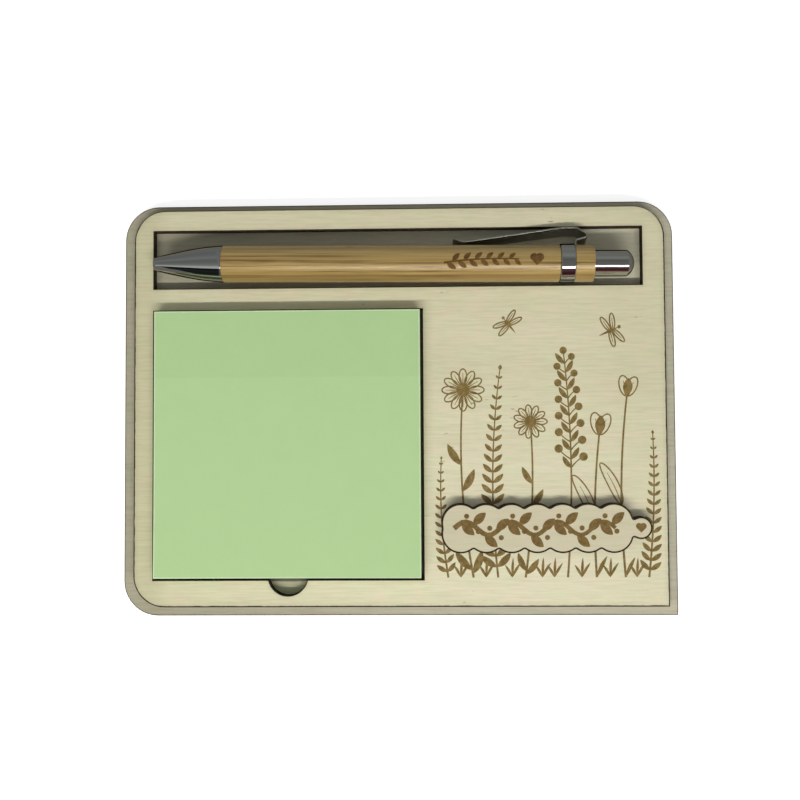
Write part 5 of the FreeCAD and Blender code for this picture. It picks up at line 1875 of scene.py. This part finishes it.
@dataclass
class Studio:
    """The floor, the lamp, the tent and cards that the metal mirrors, and the camera."""

    camera_mm: Triple = (8.72, -9.57, 299.73)
    aim_mm: Triple = (0.5, 2.49, 0.0)
    camera_roll: float = -0.4
    focal_px: float = 1021.4
    sensor_mm: float = 36.0
    lamp_height: float = 51.5
    lamp_distance: float = 1.0
    lamp_shift: float = -0.1
    lamp_length: float = 1.45
    lamp_width: float = 0.062
    lamp_power: float = 9.9
    ambient: float = 0.32
    floor_side: float = 8.0
    floor_level_mm: float = -0.02
    floor_glow: float = 0.7
    tent_radius: float = 1.4
    tent_length: float = 3.0
    tent_far: float = -0.8
    tent_slant: float = 2.2
    tent_near: float = -0.4
    tent_left: float = -0.37
    tent_middle: float = -0.33
    tent_swing: float = 0.02
    tent_columns: int = 65
    tent_edge: float = 0.03
    tent_strength: float = 1.82
    card_gap: float = 0.004
    card_level_mm: float = 0.05

    def build(self) -> None:
        """Set up the whole studio."""
        self.build_world()
        self.build_floor()
        self.build_lamp()
        self.build_tent()
        self.build_cards()
        self.build_camera()
        bpy.context.scene.view_settings.view_transform = "Standard"

    @staticmethod
    def seen_white(sheet: NodeSheet) -> Socket:
        """Tell which rays see the backdrop white: those from the camera, from gloss and through glass.

        Args:
            sheet: Where the nodes go.

        Returns:
            One for such a ray, or zero.
        """
        path = sheet.add("LightPath").outputs
        mirrored = sheet.math("MAXIMUM", path["Is Glossy Ray"], path["Is Transmission Ray"])
        return sheet.math("MAXIMUM", path["Is Camera Ray"], mirrored)

    def build_world(self) -> None:
        """Light the scene evenly from all round, with a white backdrop."""
        world = bpy.data.worlds.new("studio")
        world.use_nodes = True
        bpy.context.scene.world = world
        sheet = NodeSheet(world.node_tree)
        background = world.node_tree.nodes["Background"]
        background.inputs["Color"].default_value = (1, 1, 1, 1)
        strength = sheet.step(self.seen_white(sheet), 0, 1, self.ambient, 1)
        sheet.tree.links.new(strength, background.inputs["Strength"])

    def build_floor(self) -> None:
        """Lay a pale floor, white to the eye where no shadow falls."""
        half = self.floor_side / 2
        level = self.floor_level_mm * MM
        corners = [(-half, -half, level), (half, -half, level), (half, half, level), (-half, half, level)]
        material = bpy.data.materials.new("pale_floor")
        material.use_nodes = True
        sheet = NodeSheet(material.node_tree)
        shader = material.node_tree.nodes["Principled BSDF"]
        shader.inputs["Base Color"].default_value = opaque(tone(238, 238, 238))
        shader.inputs["Roughness"].default_value = 0.9
        shader.inputs["Specular IOR Level"].default_value = 0.0
        shader.inputs["Emission Color"].default_value = (1, 1, 1, 1)
        glow = sheet.math("MULTIPLY", self.seen_white(sheet), self.floor_glow)
        sheet.tree.links.new(glow, shader.inputs["Emission Strength"])
        self.stage("floor", corners, [(0, 1, 2, 3)], material)

    @staticmethod
    def stage(name: str, points: list, faces: list, material: Material) -> bpy.types.Object:
        """Add a mesh that belongs to the studio and not to the object.

        Args:
            name: Its name.
            points: Its points in metres.
            faces: The point numbers of each face.
            material: Its material.

        Returns:
            The new object.
        """
        mesh = bpy.data.meshes.new(name)
        mesh.from_pydata(points, [], faces)
        mesh.materials.append(material)
        item = bpy.data.objects.new(name, mesh)
        bpy.context.scene.collection.objects.link(item)
        return item

    def build_lamp(self) -> None:
        """Hang a long, narrow lamp on the front side."""
        lamp = bpy.data.lights.new("window", "AREA")
        lamp.shape = "RECTANGLE"
        lamp.size = self.lamp_length
        lamp.size_y = self.lamp_width
        lamp.energy = self.lamp_power
        lamp.color = (1.0, 0.99, 0.965)
        height = math.radians(self.lamp_height)
        place = Vector((0, -math.cos(height), math.sin(height))) * self.lamp_distance
        turn = (-place).to_track_quat("-Z", "Y").to_matrix().to_4x4()
        holder = bpy.data.objects.new("window", lamp)
        holder.matrix_world = Matrix.Translation(place + Vector((self.lamp_shift, 0, 0))) @ turn
        holder.visible_glossy = False
        bpy.context.scene.collection.objects.link(holder)

    @staticmethod
    def mirrored_only(item: bpy.types.Object) -> None:
        """Hide an object from all but the rays that gloss sends out."""
        for ray in ("camera", "diffuse", "transmission", "volume_scatter", "shadow"):
            setattr(item, f"visible_{ray}", False)

    @staticmethod
    def glowing(name: str) -> tuple[Material, NodeSheet, bpy.types.Node]:
        """Start a black material that only glows.

        Args:
            name: The material's name.

        Returns:
            The material, its node sheet and its shader.
        """
        material = bpy.data.materials.new(name)
        material.use_nodes = True
        shader = material.node_tree.nodes["Principled BSDF"]
        shader.inputs["Base Color"].default_value = (0, 0, 0, 1)
        shader.inputs["Specular IOR Level"].default_value = 0.0
        return material, NodeSheet(material.node_tree), shader

    @staticmethod
    def ramp(sheet: NodeSheet, share: object, bands: Bands) -> Socket:
        """Give a colour ramp's output.

        Args:
            sheet: Where the ramp goes.
            share: The socket that it reads.
            bands: Degrees from the front horizon, of 180, with their display colours.

        Returns:
            The ramp's colour.
        """
        node = sheet.add("ValToRGB", {0: share})
        elements = node.color_ramp.elements
        for n, (degrees, *display) in enumerate(bands):
            element = elements[n] if n < 2 else elements.new(degrees / 180)
            element.position = degrees / 180
            element.color = opaque(tone(*display))
        return node.outputs[0]

    def build_tent(self) -> None:
        """Stretch a half-round tent over the object that only mirrored rays see, in bands of grey.

        Its left part, which the pen's nose mirrors, is black in front and has a dim strip of light.
        The bands' edges wander a little along X, so that a highlight's edge isn't ruled.
        """
        angle = np.linspace(0, math.pi, self.tent_columns)
        ends = np.array([-self.tent_length / 2, self.tent_length / 2])
        angle, x = np.meshgrid(angle, ends, indexing="ij")
        points = np.stack([x, -self.tent_radius * np.cos(angle), self.tent_radius * np.sin(angle)], axis=-1)
        material, sheet, shader = self.glowing("tent_grey")
        across, along, up = sheet.add("SeparateXYZ", {0: sheet.add("TexCoord").outputs["Object"]}).outputs
        turn = sheet.math("ARCTAN2", up, sheet.math("MULTIPLY", along, -1.0))
        ragged = {"W": across, "Scale": 85.0, "Detail": 2.0}
        wander = sheet.add("TexNoise", ragged, noise_dimensions="1D").outputs[0]
        swing = sheet.math("MULTIPLY", sheet.math("SUBTRACT", wander, 0.5), self.tent_swing)
        share = sheet.math("ADD", sheet.math("DIVIDE", turn, math.pi), swing)
        slanted = sheet.math("ADD", across, sheet.math("MULTIPLY", share, self.tent_slant))
        past_far = sheet.step(slanted, self.tent_far - self.tent_edge, self.tent_far + self.tent_edge)
        short_of_near = sheet.step(across, self.tent_near - self.tent_edge, self.tent_near, 1, 0)
        dark_share = sheet.math("MULTIPLY", past_far, short_of_near)
        dull, dark, plum = (self.ramp(sheet, share, bands) for bands in (DULL_BANDS, DARK_BANDS, PLUM_BANDS))
        left = sheet.mix(dark_share, dull, dark)
        side = sheet.step(across, self.tent_left, self.tent_middle)
        colour = sheet.mix(side, left, plum)
        sheet.tree.links.new(colour, shader.inputs["Emission Color"])
        shader.inputs["Emission Strength"].default_value = self.tent_strength
        faces = grid_faces(self.tent_columns, len(ends)).tolist()
        self.mirrored_only(self.stage("tent", points.reshape(-1, 3).tolist(), faces, material))

    def build_cards(self) -> None:
        """Close the tent's two ends and lay cards round the tray, for mirrored rays only."""
        material, sheet, shader = self.glowing("card_grey")
        along = sheet.add("SeparateXYZ", {0: sheet.add("TexCoord").outputs["Object"]}).outputs[1]
        share = sheet.step(along, -0.06, 0.06)
        colour = sheet.mix(share, opaque(tone(116, 102, 86)), opaque(tone(108, 109, 105)))
        sheet.tree.links.new(colour, shader.inputs["Emission Color"])
        shader.inputs["Emission Strength"].default_value = self.tent_strength
        low, high = (np.array(corner)[:2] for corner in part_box("base_plate"))
        inner = np.array([low - self.card_gap, high + self.card_gap])
        half, reach = self.tent_length / 2, self.tent_radius
        outer = np.array([[-half, -reach], [half, reach]])
        pick = np.array([[0, 0], [1, 0], [1, 1], [0, 1]])
        rings = [np.stack([ring[pick[:, 0], 0], ring[pick[:, 1], 1]], 1) for ring in (inner, outer)]
        flat = np.vstack(rings)
        level = np.full((len(flat), 1), self.card_level_mm * MM)
        wall = ((-reach, 0), (reach, 0), (reach, reach), (-reach, reach))
        walls = [(x, y, z) for x in (-half, half) for y, z in wall]
        points = np.hstack([flat, level]).tolist() + walls
        faces = [(n, (n + 1) % 4, (n + 1) % 4 + 4, n + 4) for n in range(4)]
        faces += [(8, 9, 10, 11), (12, 13, 14, 15)]
        self.mirrored_only(self.stage("cards", points, faces, material))

    def build_camera(self) -> None:
        """Place the camera above the tray, as the photograph was taken."""
        camera = bpy.data.cameras.new("camera")
        camera.sensor_width = self.sensor_mm
        camera.lens = self.focal_px / PHOTO_SIDE_PX * self.sensor_mm
        place = Vector(self.camera_mm) * MM
        look = (Vector(self.aim_mm) * MM - place).normalized()
        level = Vector((1, 0, 0))
        right = (level - level.dot(look) * look).normalized()
        up = right.cross(look)
        turn = Matrix((right, up, -look)).transposed().to_4x4()
        holder = bpy.data.objects.new("camera", camera)
        roll = Matrix.Rotation(math.radians(self.camera_roll), 4, "Z")
        holder.matrix_world = Matrix.Translation(place) @ turn @ roll
        bpy.context.scene.collection.objects.link(holder)
        bpy.context.scene.camera = holder


def main() -> None:
    """Build the tray, the notes, the pen and the studio round them."""
    logging.basicConfig(level=logging.INFO, format="%(message)s")
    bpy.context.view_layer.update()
    for assembly in (Tray(), NotePad(), Pen(), Studio()):
        assembly.build()
        LOG.info("%s is built", type(assembly).__name__)


if __name__ == "__main__":
    main()
